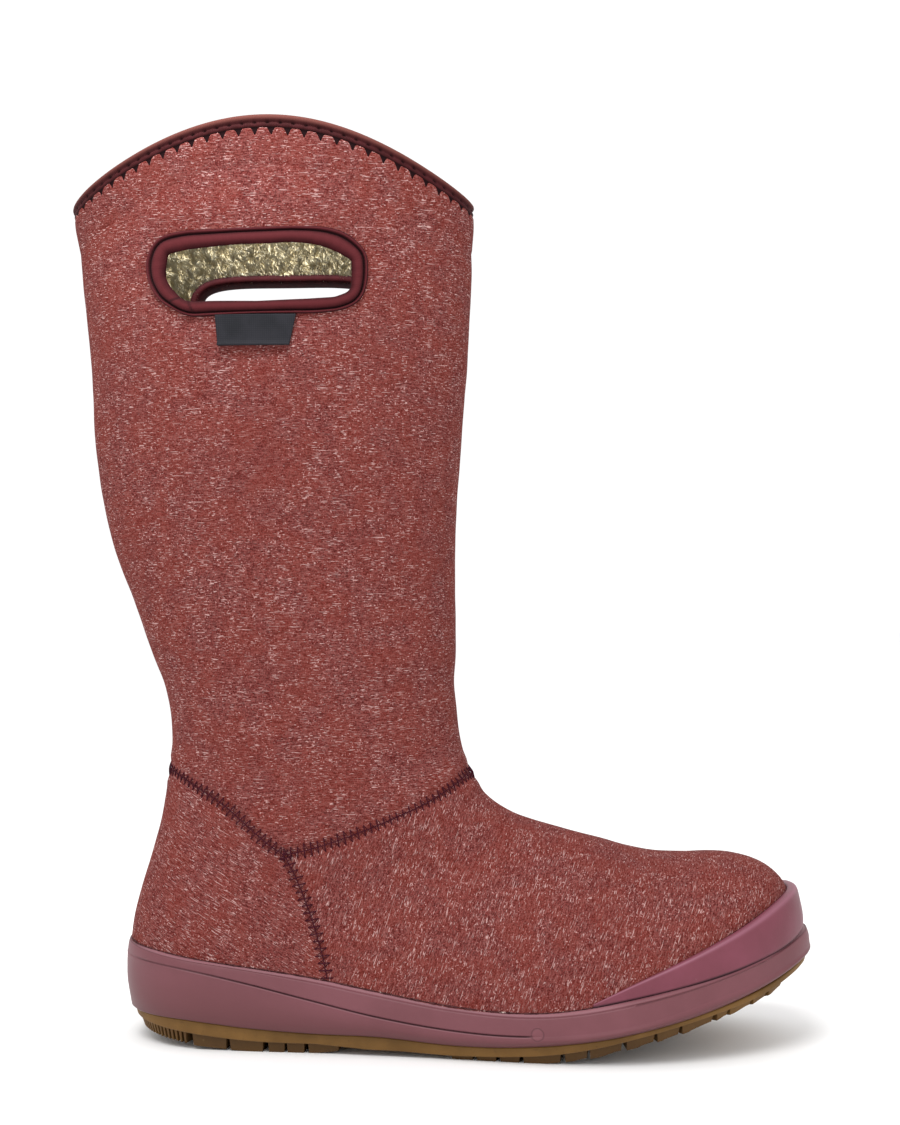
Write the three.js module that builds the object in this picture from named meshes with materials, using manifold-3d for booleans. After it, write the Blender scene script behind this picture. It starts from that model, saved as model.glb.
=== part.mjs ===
// Tall pull-on wellington boot, right foot. A padded fabric upper with an arched collar and two
// bound hand holes stands in a rubber midsole cup on a gum rubber tread, with a rubber toe bumper.
// Millimetres, +Z up, toe towards +X, outer side of the foot towards -Y.
// Construction frame: back of the heel at x = 0, heel centre line at y = 0, ground at z = 0.

import * as THREE from 'three';
import { mergeVertices } from 'three/addons/utils/BufferGeometryUtils.js';
import Module from 'manifold-3d';

// Driving dimensions
const SOLE_LENGTH = 283;
const COLLAR_CORNER = 343.2;
const COLLAR_RISE = 29.3;
const COLLAR_SKEW = 0.05;
const COLLAR_FULLNESS = 0.94;
const WALL = 3;
const GAP = 0.3;
const COLLAR_TAPE = 1.2;
const COLLAR_TAPE_DROP = 5.2;
const HOLE_LENGTH = 76.4;
const HOLE_HEIGHT = 22;
const HOLE_X = 61.2;
const HOLE_Z = 311.6;
const INNER_HOLE_DROP = 5.2;
const HOLE_TAPE = 1.8;
const HOLE_TAPE_WIDTH = 6.6;
const HOLE_TAPE_LIP = 2.2;
const HOLE_CORNERS = { backTop: 3.8, frontTop: 3.4, frontBottom: 5, backBottom: 2.5 };
const LABEL_WIDTH = 31;
const LABEL_HEIGHT = 12.4;
const LABEL_THICKNESS = 1.2;
const LABEL_BACK = 15.2;
const LABEL_TAPER = 1.2;
const BUMPER_THICKNESS = 2.2;
const RIM_LEAD = 2.4;
const INSOLE_THICKNESS = 4;
const TOE_SHIFT = 6;
const TOE_SHIFT_START = 150;

// Resolution
const AROUND = 36;
const SECTION_STEPS = 160;
const SOLE_STEPS = 28;
const LEVEL_STEPS = 24;
const HOLE_STEPS = 24;
const BUMPER_STEPS = 14;

// Limits of the forms that cut others: further out, lower and higher than what they cut
const CUT_SIDE = 90;
const CUT_BELOW = -5;
const CUT_LUGS = 60;
const CUT_ABOVE = 500;
const CUT_COLLAR = 30;
const CUT_ENDS = 40;

// Sections of the upper, from the collar over the instep to the toe. Each is a closed curve in a
// slanted plane through a front and a back point. widest is where the section is widest, from the
// front (0) to the back (1), and the two round values are its superellipse exponents. lift is the
// share of the collar arch that the section takes.
const SECTIONS = [
  { frontX: 143.2, frontZ: COLLAR_CORNER, backX: -22.4, backZ: COLLAR_CORNER, outer: 41, inner: 41,
    widest: 0.5, frontRound: 2, backRound: 2, lift: 1 },
  { frontX: 143.9, frontZ: 319, backX: -20.2, backZ: 319, outer: 41.6, inner: 41.6,
    widest: 0.5, frontRound: 2, backRound: 2, lift: 0.62 },
  { frontX: 142.7, frontZ: 295, backX: -17.9, backZ: 295, outer: 42.2, inner: 42.2,
    widest: 0.5, frontRound: 2, backRound: 2, lift: 0.25 },
  { frontX: 141.2, frontZ: 271, backX: -15.9, backZ: 271, outer: 42.7, inner: 42.7,
    widest: 0.5, frontRound: 2.05, backRound: 2.05, lift: 0 },
  { frontX: 139.2, frontZ: 246, backX: -14.1, backZ: 246, outer: 43, inner: 43,
    widest: 0.5, frontRound: 2.1, backRound: 2.1, lift: 0 },
  { frontX: 137.7, frontZ: 222, backX: -10.9, backZ: 222, outer: 43, inner: 43,
    widest: 0.5, frontRound: 2.1, backRound: 2.1, lift: 0 },
  { frontX: 137, frontZ: 200, backX: -5.3, backZ: 200, outer: 42.5, inner: 42.5,
    widest: 0.5, frontRound: 2.1, backRound: 2.1, lift: 0 },
  { frontX: 136.8, frontZ: 179, backX: 2.8, backZ: 179, outer: 41.4, inner: 41.4,
    widest: 0.5, frontRound: 2.1, backRound: 2.1, lift: 0 },
  { frontX: 136.9, frontZ: 160, backX: 9.8, backZ: 160, outer: 40.2, inner: 40,
    widest: 0.5, frontRound: 2.1, backRound: 2.1, lift: 0 },
  { frontX: 137.1, frontZ: 144, backX: 15.4, backZ: 144, outer: 39.2, inner: 39,
    widest: 0.5, frontRound: 2.1, backRound: 2.15, lift: 0 },
  { frontX: 137.9, frontZ: 130, backX: 18.3, backZ: 129, outer: 38.4, inner: 38,
    widest: 0.5, frontRound: 2.1, backRound: 2.2, lift: 0 },
  { frontX: 139.6, frontZ: 120.6, backX: 18.4, backZ: 116, outer: 37.6, inner: 37.2,
    widest: 0.5, frontRound: 2.1, backRound: 2.2, lift: 0 },
  { frontX: 141.8, frontZ: 113.7, backX: 16.7, backZ: 103, outer: 37.1, inner: 36.6,
    widest: 0.5, frontRound: 2.1, backRound: 2.3, lift: 0 },
  { frontX: 144.6, frontZ: 108.2, backX: 14.2, backZ: 89, outer: 36.8, inner: 36.2,
    widest: 0.51, frontRound: 2.1, backRound: 2.4, lift: 0 },
  { frontX: 148, frontZ: 102.8, backX: 10.5, backZ: 75, outer: 36.6, inner: 35.9,
    widest: 0.53, frontRound: 2.1, backRound: 2.5, lift: 0 },
  { frontX: 152.2, frontZ: 98.6, backX: 6.4, backZ: 61, outer: 36.5, inner: 35.7,
    widest: 0.55, frontRound: 2.1, backRound: 2.6, lift: 0 },
  { frontX: 157, frontZ: 95.3, backX: 3.2, backZ: 47, outer: 36.4, inner: 35.5,
    widest: 0.58, frontRound: 2.1, backRound: 2.7, lift: 0 },
  { frontX: 162.3, frontZ: 92.5, backX: 2.6, backZ: 33, outer: 36.4, inner: 35.4,
    widest: 0.61, frontRound: 2.1, backRound: 2.75, lift: 0 },
  { frontX: 168, frontZ: 90.5, backX: 6, backZ: 19, outer: 36.6, inner: 35.2,
    widest: 0.64, frontRound: 2.1, backRound: 2.8, lift: 0 },
  { frontX: 174.5, frontZ: 88.6, backX: 34, backZ: 13, outer: 37, inner: 35,
    widest: 0.68, frontRound: 2.1, backRound: 3, lift: 0 },
  { frontX: 181.5, frontZ: 86.8, backX: 72, backZ: 12.2, outer: 37.9, inner: 35,
    widest: 0.72, frontRound: 2.1, backRound: 3.4, lift: 0 },
  { frontX: 189.5, frontZ: 84.8, backX: 112, backZ: 10, outer: 40.4, inner: 36.4,
    widest: 0.75, frontRound: 2.1, backRound: 3.8, lift: 0 },
  { frontX: 198.5, frontZ: 82.4, backX: 148, backZ: 8, outer: 44.4, inner: 39.8,
    widest: 0.77, frontRound: 2.15, backRound: 4, lift: 0 },
  { frontX: 208.5, frontZ: 79.5, backX: 178, backZ: 7.9, outer: 46.6, inner: 43.8,
    widest: 0.78, frontRound: 2.2, backRound: 4, lift: 0 },
  { frontX: 219.5, frontZ: 77.6, backX: 203, backZ: 12.4, outer: 46.4, inner: 45.9,
    widest: 0.78, frontRound: 2.3, backRound: 4, lift: 0 },
  { frontX: 231, frontZ: 77.3, backX: 223, backZ: 17.2, outer: 43.8, inner: 45.9,
    widest: 0.77, frontRound: 2.4, backRound: 3.6, lift: 0 },
  { frontX: 242, frontZ: 77.6, backX: 238.5, backZ: 21, outer: 40, inner: 44.4,
    widest: 0.75, frontRound: 2.4, backRound: 3.2, lift: 0 },
  { frontX: 251.5, frontZ: 76.7, backX: 250, backZ: 25, outer: 35.6, inner: 41.2,
    widest: 0.72, frontRound: 2.4, backRound: 2.8, lift: 0 },
  { frontX: 260, frontZ: 74.3, backX: 259.5, backZ: 29.2, outer: 30, inner: 36,
    widest: 0.68, frontRound: 2.3, backRound: 2.6, lift: 0 },
  { frontX: 266.6, frontZ: 70.6, backX: 267, backZ: 33.4, outer: 23.8, inner: 29.2,
    widest: 0.64, frontRound: 2.2, backRound: 2.4, lift: 0 },
  { frontX: 271.2, frontZ: 66.2, backX: 272.2, backZ: 38, outer: 17, inner: 21.6,
    widest: 0.6, frontRound: 2.1, backRound: 2.3, lift: 0 },
  { frontX: 273.8, frontZ: 61.4, backX: 275.4, backZ: 42.4, outer: 10, inner: 13.4,
    widest: 0.56, frontRound: 2, backRound: 2.2, lift: 0 },
];
const TOE_POINT = { x: 276.2, z: 51.5 };

// Half widths of the midsole at its widest level, to the outer and the inner side
const SOLE_PLAN = [
  { x: 0, outer: 37.5, inner: 37.5 },
  { x: 50, outer: 39.2, inner: 38.6 },
  { x: 95, outer: 40.6, inner: 37.6 },
  { x: 130, outer: 43.2, inner: 38.4 },
  { x: 165, outer: 48, inner: 42.6 },
  { x: 200, outer: 51, inner: 48 },
  { x: 235, outer: 51, inner: 51 },
  { x: SOLE_LENGTH, outer: 50, inner: 51 },
];
const HEEL_END = { length: 40, outerRound: 2.2, innerRound: 2.2 };
const TOE_END = { outerLength: 92, innerLength: 66, outerRound: 2.1, innerRound: 2.2 };

// Heights along the sole. rim is the top edge of the midsole, groove the line cut into its side,
// floor its inside, seat the joint between midsole and outsole, web the outsole between its lugs
// and tread the face of the lugs, which is level under heel and ball and springs up to the toe.
const SOLE_LEVELS = [
  { x: 0, rim: 41.5, groove: 36, floor: 18.5, seat: 13, web: 9, tread: 6.5 },
  { x: 30, rim: 37.5, groove: 33.5, floor: 18, seat: 12.5, web: 6, tread: 2.5 },
  { x: 56, rim: 34.5, groove: 28.5, floor: 17, seat: 10, web: 3.5, tread: 0 },
  { x: 82, rim: 31, groove: 22.5, floor: 16, seat: 8.5, web: 3, tread: 0 },
  { x: 110, rim: 26, groove: 16.5, floor: 14.5, seat: 8, web: 4, tread: 3 },
  { x: 140, rim: 21.5, groove: 12.5, floor: 12.5, seat: 6, web: 3, tread: 0 },
  { x: 176, rim: 20.5, groove: 12, floor: 13, seat: 7.5, web: 4, tread: 0 },
  { x: 214, rim: 27, groove: 17.5, floor: 18, seat: 13.5, web: 11.5, tread: 8 },
  { x: 246, rim: 35, groove: 27, floor: 27, seat: 22, web: 20, tread: 17 },
  { x: 262, rim: 40, groove: 32, floor: 32.5, seat: 27.5, web: 25, tread: 22 },
  { x: SOLE_LENGTH, rim: 48, groove: 40.5, floor: 42, seat: 37, web: 34.5, tread: 32 },
];
const GROOVE_START = 4;
const GROOVE_END = 172;
const GROOVE_FADE = 8;
const GROOVE_DEPTH = 1.1;
const GROOVE_HALF = 1.2;

// How far the midsole's side lies inside its plan at each of its levels, and how high its foot is.
// The rim's inset goes from one value to another over a stretch of the foot.
const SIDE_INSET = { seat: 3.2, foot: 1.7, bulge: 0, underGroove: 0.2, groove: 0.3, overGroove: 0.5 };
const SIDE_FOOT_HEIGHT = 1.1;
const BULGE_SHARE = 0.5;
const RIM_INSET = { heel: 2.6, toe: 1.4, from: 180, to: 220 };

// How far the outsole's levels lie inside the same plan
const TREAD_INSET = { seat: 3.4, web: 4.4, root: 4.6, tread: 5.4 };

// Top edge of the toe bumper, which rises from the midsole's rim to the front of the toe
const BUMPER_EDGE = [
  { x: 195, z: 24.5 },
  { x: 208, z: 31 },
  { x: 234, z: 43 },
  { x: 256, z: 54 },
  { x: 270, z: 62 },
  { x: 284, z: 68 },
];

// Side lugs of the outsole from heel to toe, with a gap after each
const SIDE_LUGS = [
  { from: 33.8, to: 48.4, reach: 17 },
  { from: 49.8, to: 63.4, reach: 17 },
  { from: 65.6, to: 72.2, reach: 15 },
  { from: 73.2, to: 80.2, reach: 15 },
  { from: 81.8, to: 94, reach: 14 },
  { from: 138, to: 146.4, reach: 15 },
  { from: 148, to: 155.8, reach: 15 },
  { from: 157.4, to: 165.3, reach: 15 },
  { from: 166.8, to: 181.6, reach: 18 },
  { from: 183.4, to: 192.2, reach: 16 },
  { from: 193.4, to: 206.4, reach: 18 },
  { from: 208.6, to: 219.8, reach: 18 },
  { from: 221.2, to: 230, reach: 16 },
  { from: 231.4, to: 243.8, reach: 16 },
  { from: 245.8, to: 250.2, reach: 14 },
  { from: 251.4, to: 260.2, reach: 14 },
  { from: 261.4, to: 267, reach: 12 },
];
const HEEL_RIBS = { from: 6.4, count: 6, pitch: 4.6, width: 2.6, half: CUT_SIDE };
const TOE_RIBS = { from: 268.4, count: 3, pitch: 4, width: 2.4, half: CUT_SIDE };
const CENTRE_BARS = [
  { from: 38, count: 4, pitch: 14, width: 8.6, half: 16 },
  { from: 146, count: 6, pitch: 16.4, width: 10, half: 21 },
];
const LUG_ROOT = 0.5;

// The collar tape's rounded fold: the width and drop of its shoulders, and the rise of its crown
const FOLD = { shoulder: 0.9, drop: 0.3, crown: 0.2 };

// Colours and roughness
const FABRIC = 0x894c47;
const MIDSOLE_RUBBER = 0x71464a;
const BUMPER_RUBBER = 0x8c5464;
const GUM_RUBBER = 0x6c5034;
const HOLE_TAPE_CLOTH = 0x662d2e;
const COLLAR_TAPE_CLOTH = 0x502122;
const FELT = 0xbeaf8a;
const LABEL_CLOTH = 0x464346;
const ROUGHNESS = { gum: 0.6, rubber: 0.45, cloth: 0.95, tape: 0.8, label: 0.7 };

// Smooth interpolation of one column of a table
function smooth(rows, key, at, column) {
  const last = rows.length - 1;
  const value = Math.min(Math.max(at, rows[0][key]), rows[last][key]);
  let i = 0;
  while (i < last - 1 && rows[i + 1][key] < value) i += 1;
  const width = (k) => rows[k + 1][key] - rows[k][key];
  const slope = (k) => (rows[k + 1][column] - rows[k][column]) / width(k);
  const tangent = (k) => {
    if (k === 0) return slope(0);
    if (k === last) return slope(last - 1);
    return (slope(k - 1) * width(k) + slope(k) * width(k - 1)) / (width(k) + width(k - 1));
  };
  const t = (value - rows[i][key]) / width(i);
  const ease = t * t * (3 - 2 * t);
  const start = t * (1 - t) * (1 - t) * width(i) * tangent(i);
  const end = t * t * (t - 1) * width(i) * tangent(i + 1);
  return rows[i][column] * (1 - ease) + rows[i + 1][column] * ease + start + end;
}

function clamp01(value) {
  return Math.min(Math.max(value, 0), 1);
}

// The foot's centre line bends to the inner side towards the toe
function centreLine(x) {
  return TOE_SHIFT * clamp01((x - TOE_SHIFT_START) / (SOLE_LENGTH - TOE_SHIFT_START)) ** 2;
}

function soleHalfWidth(x, side) {
  const column = side < 0 ? 'outer' : 'inner';
  const toeLength = side < 0 ? TOE_END.outerLength : TOE_END.innerLength;
  const toeRound = TOE_END[`${column}Round`];
  const heelRound = HEEL_END[`${column}Round`];
  const towardsHeel = clamp01((HEEL_END.length - x) / HEEL_END.length);
  const towardsToe = clamp01((x - SOLE_LENGTH + toeLength) / toeLength);
  const heel = (1 - towardsHeel ** heelRound) ** (1 / heelRound);
  const toe = (1 - towardsToe ** toeRound) ** (1 / toeRound);
  return smooth(SOLE_PLAN, 'x', x, column) * heel * toe;
}

function level(x, column) {
  return Math.max(smooth(SOLE_LEVELS, 'x', x, column), 0);
}

function collarLift(x) {
  const front = SECTIONS[0].frontX;
  const back = SECTIONS[0].backX;
  const across = (2 * x - front - back) / (front - back);
  const skewed = across - COLLAR_SKEW * (1 - across * across);
  return COLLAR_RISE * Math.max(Math.cos(skewed * Math.PI / 2), 0) ** COLLAR_FULLNESS;
}

// Solids from lists of points and faces
const wasm = await Module();
wasm.setup();

function solidOf(points, faces) {
  const vertProperties = new Float32Array(points.flatMap((p) => [p.x, p.y, p.z]));
  const triVerts = new Uint32Array(faces.flat());
  return new wasm.Manifold(new wasm.Mesh({ numProp: 3, vertProperties, triVerts }));
}

function solidOfGeometry(geometry) {
  const bare = geometry.clone();
  bare.deleteAttribute('normal');
  bare.deleteAttribute('uv');
  const merged = mergeVertices(bare);
  const vertProperties = new Float32Array(merged.attributes.position.array);
  const triVerts = new Uint32Array(merged.index.array);
  return new wasm.Manifold(new wasm.Mesh({ numProp: 3, vertProperties, triVerts }));
}

function geometryOf(solid) {
  const mesh = solid.getMesh();
  const geometry = new THREE.BufferGeometry();
  geometry.setAttribute('position', new THREE.BufferAttribute(mesh.vertProperties, 3));
  geometry.setIndex(new THREE.BufferAttribute(mesh.triVerts, 1));
  return geometry;
}

// A prism along Y from an outline in the XZ plane
function prismAlongY(outline, fromY, toY) {
  const shape = new THREE.Shape(outline.map((p) => new THREE.Vector2(p.x, p.z)));
  const geometry = new THREE.ExtrudeGeometry(shape, { depth: toY - fromY, bevelEnabled: false });
  geometry.rotateX(Math.PI / 2);
  geometry.translate(0, toY, 0);
  return solidOfGeometry(geometry);
}

function box(fromX, toX, fromY, toY, fromZ, toZ) {
  const geometry = new THREE.BoxGeometry(toX - fromX, toY - fromY, toZ - fromZ);
  geometry.translate((fromX + toX) / 2, (fromY + toY) / 2, (fromZ + toZ) / 2);
  return solidOfGeometry(geometry);
}

// The last: rings of points on the outside of the upper
function sectionPoint(section, angle, side) {
  const across = Math.cos(angle);
  const round = across >= 0 ? section.frontRound : section.backRound;
  const reach = Math.abs(across) ** (2 / round);
  const width = Math.abs(Math.sin(angle)) ** (2 / round);
  const along = across >= 0 ? section.widest * (1 - reach) : section.widest + (1 - section.widest) * reach;
  const x = section.frontX + (section.backX - section.frontX) * along;
  const z = section.frontZ + (section.backZ - section.frontZ) * along;
  const half = side < 0 ? section.outer : section.inner;
  return new THREE.Vector3(x, side * half * width + centreLine(x), z + section.lift * collarLift(x));
}

// Half a section from its front to its back, in equal steps along its length
function halfSection(section, side) {
  const points = [];
  const lengths = [0];
  for (let i = 0; i <= SECTION_STEPS; i += 1) {
    points.push(sectionPoint(section, Math.PI * i / SECTION_STEPS, side));
    if (i > 0) lengths.push(lengths[i - 1] + points[i].distanceTo(points[i - 1]));
  }
  const half = AROUND / 2;
  const even = [];
  let i = 0;
  for (let k = 0; k <= half; k += 1) {
    const target = lengths[SECTION_STEPS] * k / half;
    while (i < SECTION_STEPS - 1 && lengths[i + 1] < target) i += 1;
    const share = clamp01((target - lengths[i]) / (lengths[i + 1] - lengths[i]));
    even.push(points[i].clone().lerp(points[i + 1], share));
  }
  return even;
}

// Ring of a section: front, outer side, back, inner side
function sectionRing(section) {
  const outer = halfSection(section, -1);
  const inner = halfSection(section, 1);
  return [...outer, ...inner.slice(1, -1).reverse()];
}

const lastRings = SECTIONS.map(sectionRing);
const toePoint = new THREE.Vector3(TOE_POINT.x, centreLine(TOE_POINT.x), TOE_POINT.z);

function ringNormal(i, j) {
  const up = lastRings[Math.max(i - 1, 0)][j];
  const down = lastRings[Math.min(i + 1, lastRings.length - 1)][j];
  const before = lastRings[i][(j + AROUND - 1) % AROUND];
  const after = lastRings[i][(j + 1) % AROUND];
  const alongRing = after.clone().sub(before);
  const alongFoot = down.clone().sub(up);
  return alongRing.cross(alongFoot).normalize();
}
const lastNormals = lastRings.map((ring, i) => ring.map((point, j) => ringNormal(i, j)));

function offsetRing(i, offset) {
  return lastRings[i].map((point, j) => point.clone().addScaledVector(lastNormals[i][j], offset));
}

// The closed form of the last, moved out or in by an offset, with its flat rim raised by an amount
function lastSolid(offset, raise) {
  const rings = lastRings.map((ring, i) => offsetRing(i, offset));
  const collar = rings[0];
  const middle = collar.reduce((sum, p) => sum.add(p), new THREE.Vector3()).divideScalar(AROUND);
  const rimWidth = 3 * WALL;
  const raised = raise > 0 ? [collar.map((p) => p.clone().add(new THREE.Vector3(0, 0, raise)))] : [];
  const top = raised.length ? raised[0] : collar;
  const rim = top.map((p) => {
    const inward = middle.clone().sub(p).setZ(0).setLength(rimWidth);
    return p.clone().add(inward);
  });
  const all = [rim, ...raised, ...rings];
  const points = [...all.flat(), middle.setZ(middle.z + raise), toePoint.clone()];
  points[points.length - 1].x += offset;
  const faces = [];
  const lid = all.length * AROUND;
  for (let j = 0; j < AROUND; j += 1) {
    const next = (j + 1) % AROUND;
    faces.push([lid, next, j]);
    faces.push([lid + 1, lid - AROUND + j, lid - AROUND + next]);
    for (let i = 0; i < all.length - 1; i += 1) {
      const a = i * AROUND + j;
      const b = i * AROUND + next;
      faces.push([a, b + AROUND, a + AROUND], [a, b, b + AROUND]);
    }
  }
  return solidOf(points, faces);
}

// Outline of the sole in plan: heel, outer side, toe, inner side
function solePlan() {
  const points = [];
  for (let k = 0; k < 2 * SOLE_STEPS; k += 1) {
    const side = k <= SOLE_STEPS ? -1 : 1;
    const x = SOLE_LENGTH * (1 - Math.cos(Math.PI * k / SOLE_STEPS)) / 2;
    points.push(new THREE.Vector2(x, side * soleHalfWidth(x, side) + centreLine(x)));
  }
  return points;
}
const plan = solePlan();
const planInward = plan.map((point, k) => {
  const count = plan.length;
  const along = plan[(k + 1) % count].clone().sub(plan[(k + count - 1) % count]);
  return new THREE.Vector2(-along.y, along.x).normalize();
});

// A solid stacked from outlines of the sole, each inset and at a height that varies along the foot
function soleStack(layers) {
  const count = plan.length;
  const points = [];
  for (const layer of layers) {
    plan.forEach((p, k) => {
      const at = p.clone().addScaledVector(planInward[k], layer.inset(p.x));
      points.push(new THREE.Vector3(at.x, at.y, layer.height(p.x)));
    });
  }
  const faces = [];
  for (let i = 0; i < layers.length - 1; i += 1) {
    for (let k = 0; k < count; k += 1) {
      const a = i * count + k;
      const b = i * count + (k + 1) % count;
      faces.push([a, b, b + count], [a, b + count, a + count]);
    }
  }
  const top = (layers.length - 1) * count;
  for (let k = 0; k < SOLE_STEPS; k += 1) {
    const mirror = (count - k) % count;
    const nextMirror = count - k - 1;
    if (k > 0) faces.push([k, mirror, k + 1], [top + k, top + k + 1, top + mirror]);
    if (k + 1 < SOLE_STEPS) {
      faces.push([k + 1, mirror, nextMirror], [top + k + 1, top + nextMirror, top + mirror]);
    }
  }
  return solidOf(points, faces);
}

// Everything above one of the sole's levels, moved by an offset and up to a height
function aboveLevel(column, offset, height) {
  const from = -CUT_ENDS;
  const to = SOLE_LENGTH + CUT_ENDS;
  const line = [];
  for (let i = 0; i <= LEVEL_STEPS; i += 1) {
    const x = SOLE_LENGTH * i / LEVEL_STEPS;
    line.push({ x, z: level(x, column) + offset });
  }
  const outline = [{ x: from, z: height }, { x: from, z: line[0].z }, ...line];
  outline.push({ x: to, z: line[LEVEL_STEPS].z }, { x: to, z: height });
  return prismAlongY(outline, -CUT_SIDE, CUT_SIDE);
}

// Hand hole outline, grown by an amount, lowered on the inner side
function holeOutline(grow, drop) {
  const outline = [];
  const nearby = 0.02;
  const turn = (angle) => {
    const c = Math.cos(angle);
    const s = Math.sin(angle);
    const corner = (c < 0 ? 'back' : 'front') + (s < 0 ? 'Bottom' : 'Top');
    const power = 2 / HOLE_CORNERS[corner];
    const x = Math.sign(c) * Math.abs(c) ** power * HOLE_LENGTH / 2;
    const z = Math.sign(s) * Math.abs(s) ** power * HOLE_HEIGHT / 2;
    return new THREE.Vector2(x, z);
  };
  for (let k = 0; k < HOLE_STEPS; k += 1) {
    const angle = 2 * Math.PI * (k + 0.5) / HOLE_STEPS;
    const point = turn(angle);
    const along = turn(angle + nearby).sub(turn(angle - nearby)).normalize();
    outline.push({
      x: HOLE_X + point.x + along.y * grow,
      z: HOLE_Z - drop + point.y - along.x * grow,
    });
  }
  return outline;
}

function holePrism(grow, side) {
  const outline = holeOutline(grow, side < 0 ? 0 : INNER_HOLE_DROP);
  return side < 0 ? prismAlongY(outline, -CUT_SIDE, 0) : prismAlongY(outline, 0, CUT_SIDE);
}

// A skin between two offsets of the last, open at the collar
function skinBetween(outer, inner) {
  return lastSolid(outer, 0).subtract(lastSolid(inner, CUT_COLLAR));
}

// Upper: one padded wall with the collar, two hand holes and the underside open
function makeUpper() {
  const holes = holePrism(HOLE_TAPE_LIP, -1).add(holePrism(HOLE_TAPE_LIP, 1));
  return skinBetween(0, -WALL).subtract(holes).intersect(aboveLevel('floor', GAP, CUT_ABOVE));
}

// Hand hole binding: a folded tape over both faces of the wall round the hole
function makeHoleBinding(side) {
  const tape = skinBetween(HOLE_TAPE, -WALL - HOLE_TAPE);
  const ring = holePrism(HOLE_TAPE_WIDTH, side).subtract(holePrism(0, side));
  const slot = skinBetween(GAP, -WALL - GAP).subtract(holePrism(HOLE_TAPE_LIP - GAP, side));
  return tape.intersect(ring).subtract(slot);
}

// Collar binding: a folded tape over the arched edge
function makeCollarBinding() {
  const out = COLLAR_TAPE + GAP;
  const inn = -WALL - COLLAR_TAPE - GAP;
  const profile = [
    { across: out, up: -COLLAR_TAPE_DROP },
    { across: out, up: 0 },
    { across: out - FOLD.shoulder, up: out - FOLD.drop },
    { across: -WALL / 2, up: out + FOLD.crown },
    { across: inn + FOLD.shoulder, up: out - FOLD.drop },
    { across: inn, up: 0 },
    { across: inn, up: -COLLAR_TAPE_DROP },
    { across: -WALL - GAP, up: -COLLAR_TAPE_DROP },
    { across: -WALL - GAP, up: GAP },
    { across: GAP, up: GAP },
    { across: GAP, up: -COLLAR_TAPE_DROP },
  ];
  const count = profile.length;
  const points = [];
  for (let j = 0; j < AROUND; j += 1) {
    for (const { across, up } of profile) {
      const point = lastRings[0][j].clone().addScaledVector(lastNormals[0][j], across);
      const down = lastRings[1][j].clone().addScaledVector(lastNormals[1][j], across);
      const fall = down.sub(point);
      const share = up / fall.z;
      points.push(up < 0 ? point.addScaledVector(fall, share) : point.setZ(point.z + up));
    }
  }
  const faces = [];
  for (let j = 0; j < AROUND; j += 1) {
    for (let k = 0; k < count; k += 1) {
      const a = j * count + k;
      const b = ((j + 1) % AROUND) * count + k;
      const a2 = j * count + (k + 1) % count;
      const b2 = ((j + 1) % AROUND) * count + (k + 1) % count;
      faces.push([a, b2, b], [a, a2, b2]);
    }
  }
  return solidOf(points, faces);
}

// Label tab: a bare folded tab under the outer hand hole
function makeLabelTab() {
  const left = HOLE_X - LABEL_BACK;
  const top = HOLE_Z - HOLE_HEIGHT / 2 - HOLE_TAPE_WIDTH - GAP;
  const outline = [
    { x: left, z: top },
    { x: left + LABEL_WIDTH, z: top },
    { x: left + LABEL_WIDTH - 2 * LABEL_TAPER, z: top - LABEL_HEIGHT },
    { x: left + LABEL_TAPER, z: top - LABEL_HEIGHT },
  ];
  return skinBetween(GAP + LABEL_THICKNESS, GAP).intersect(prismAlongY(outline, -CUT_SIDE, 0));
}

// Toe bumper: a thick rubber skin over the toe between the midsole's rim and its own top edge
function makeToeBumper() {
  const first = BUMPER_EDGE[0].x;
  const last = BUMPER_EDGE[BUMPER_EDGE.length - 1].x;
  const outline = [];
  for (let i = 0; i <= BUMPER_STEPS; i += 1) {
    const x = first + (last - first) * i / BUMPER_STEPS;
    outline.push({ x, z: level(x + RIM_LEAD, 'rim') + GAP });
  }
  for (let i = BUMPER_STEPS; i > 0; i -= 1) {
    const x = first + (last - first) * i / BUMPER_STEPS;
    outline.push({ x, z: smooth(BUMPER_EDGE, 'x', x, 'z') });
  }
  return skinBetween(GAP + BUMPER_THICKNESS, GAP).intersect(prismAlongY(outline, -CUT_SIDE, CUT_SIDE));
}

// Midsole: a cup with a bulging side, a groove line and the last's cavity
function grooveDepth(x) {
  const start = clamp01((x - GROOVE_START) / GROOVE_FADE);
  return GROOVE_DEPTH * start * clamp01((GROOVE_END - x) / GROOVE_FADE);
}

function rimInset(x) {
  const share = clamp01((x - RIM_INSET.from) / (RIM_INSET.to - RIM_INSET.from));
  return RIM_INSET.heel + (RIM_INSET.toe - RIM_INSET.heel) * share;
}

function bulgeHeight(x) {
  return level(x, 'seat') * (1 - BULGE_SHARE) + level(x, 'groove') * BULGE_SHARE;
}

function makeMidsole() {
  const layers = [
    { inset: () => SIDE_INSET.seat, height: (x) => level(x, 'seat') },
    { inset: () => SIDE_INSET.foot, height: (x) => level(x, 'seat') + SIDE_FOOT_HEIGHT },
    { inset: () => SIDE_INSET.bulge, height: bulgeHeight },
    { inset: () => SIDE_INSET.underGroove, height: (x) => level(x, 'groove') - GROOVE_HALF },
    { inset: (x) => SIDE_INSET.groove + grooveDepth(x), height: (x) => level(x, 'groove') },
    { inset: () => SIDE_INSET.overGroove, height: (x) => level(x, 'groove') + GROOVE_HALF },
    { inset: rimInset, height: (x) => level(x, 'rim') },
  ];
  const cavity = lastSolid(GAP, 0).intersect(aboveLevel('floor', 0, CUT_ABOVE));
  return soleStack(layers).subtract(cavity);
}

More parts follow.
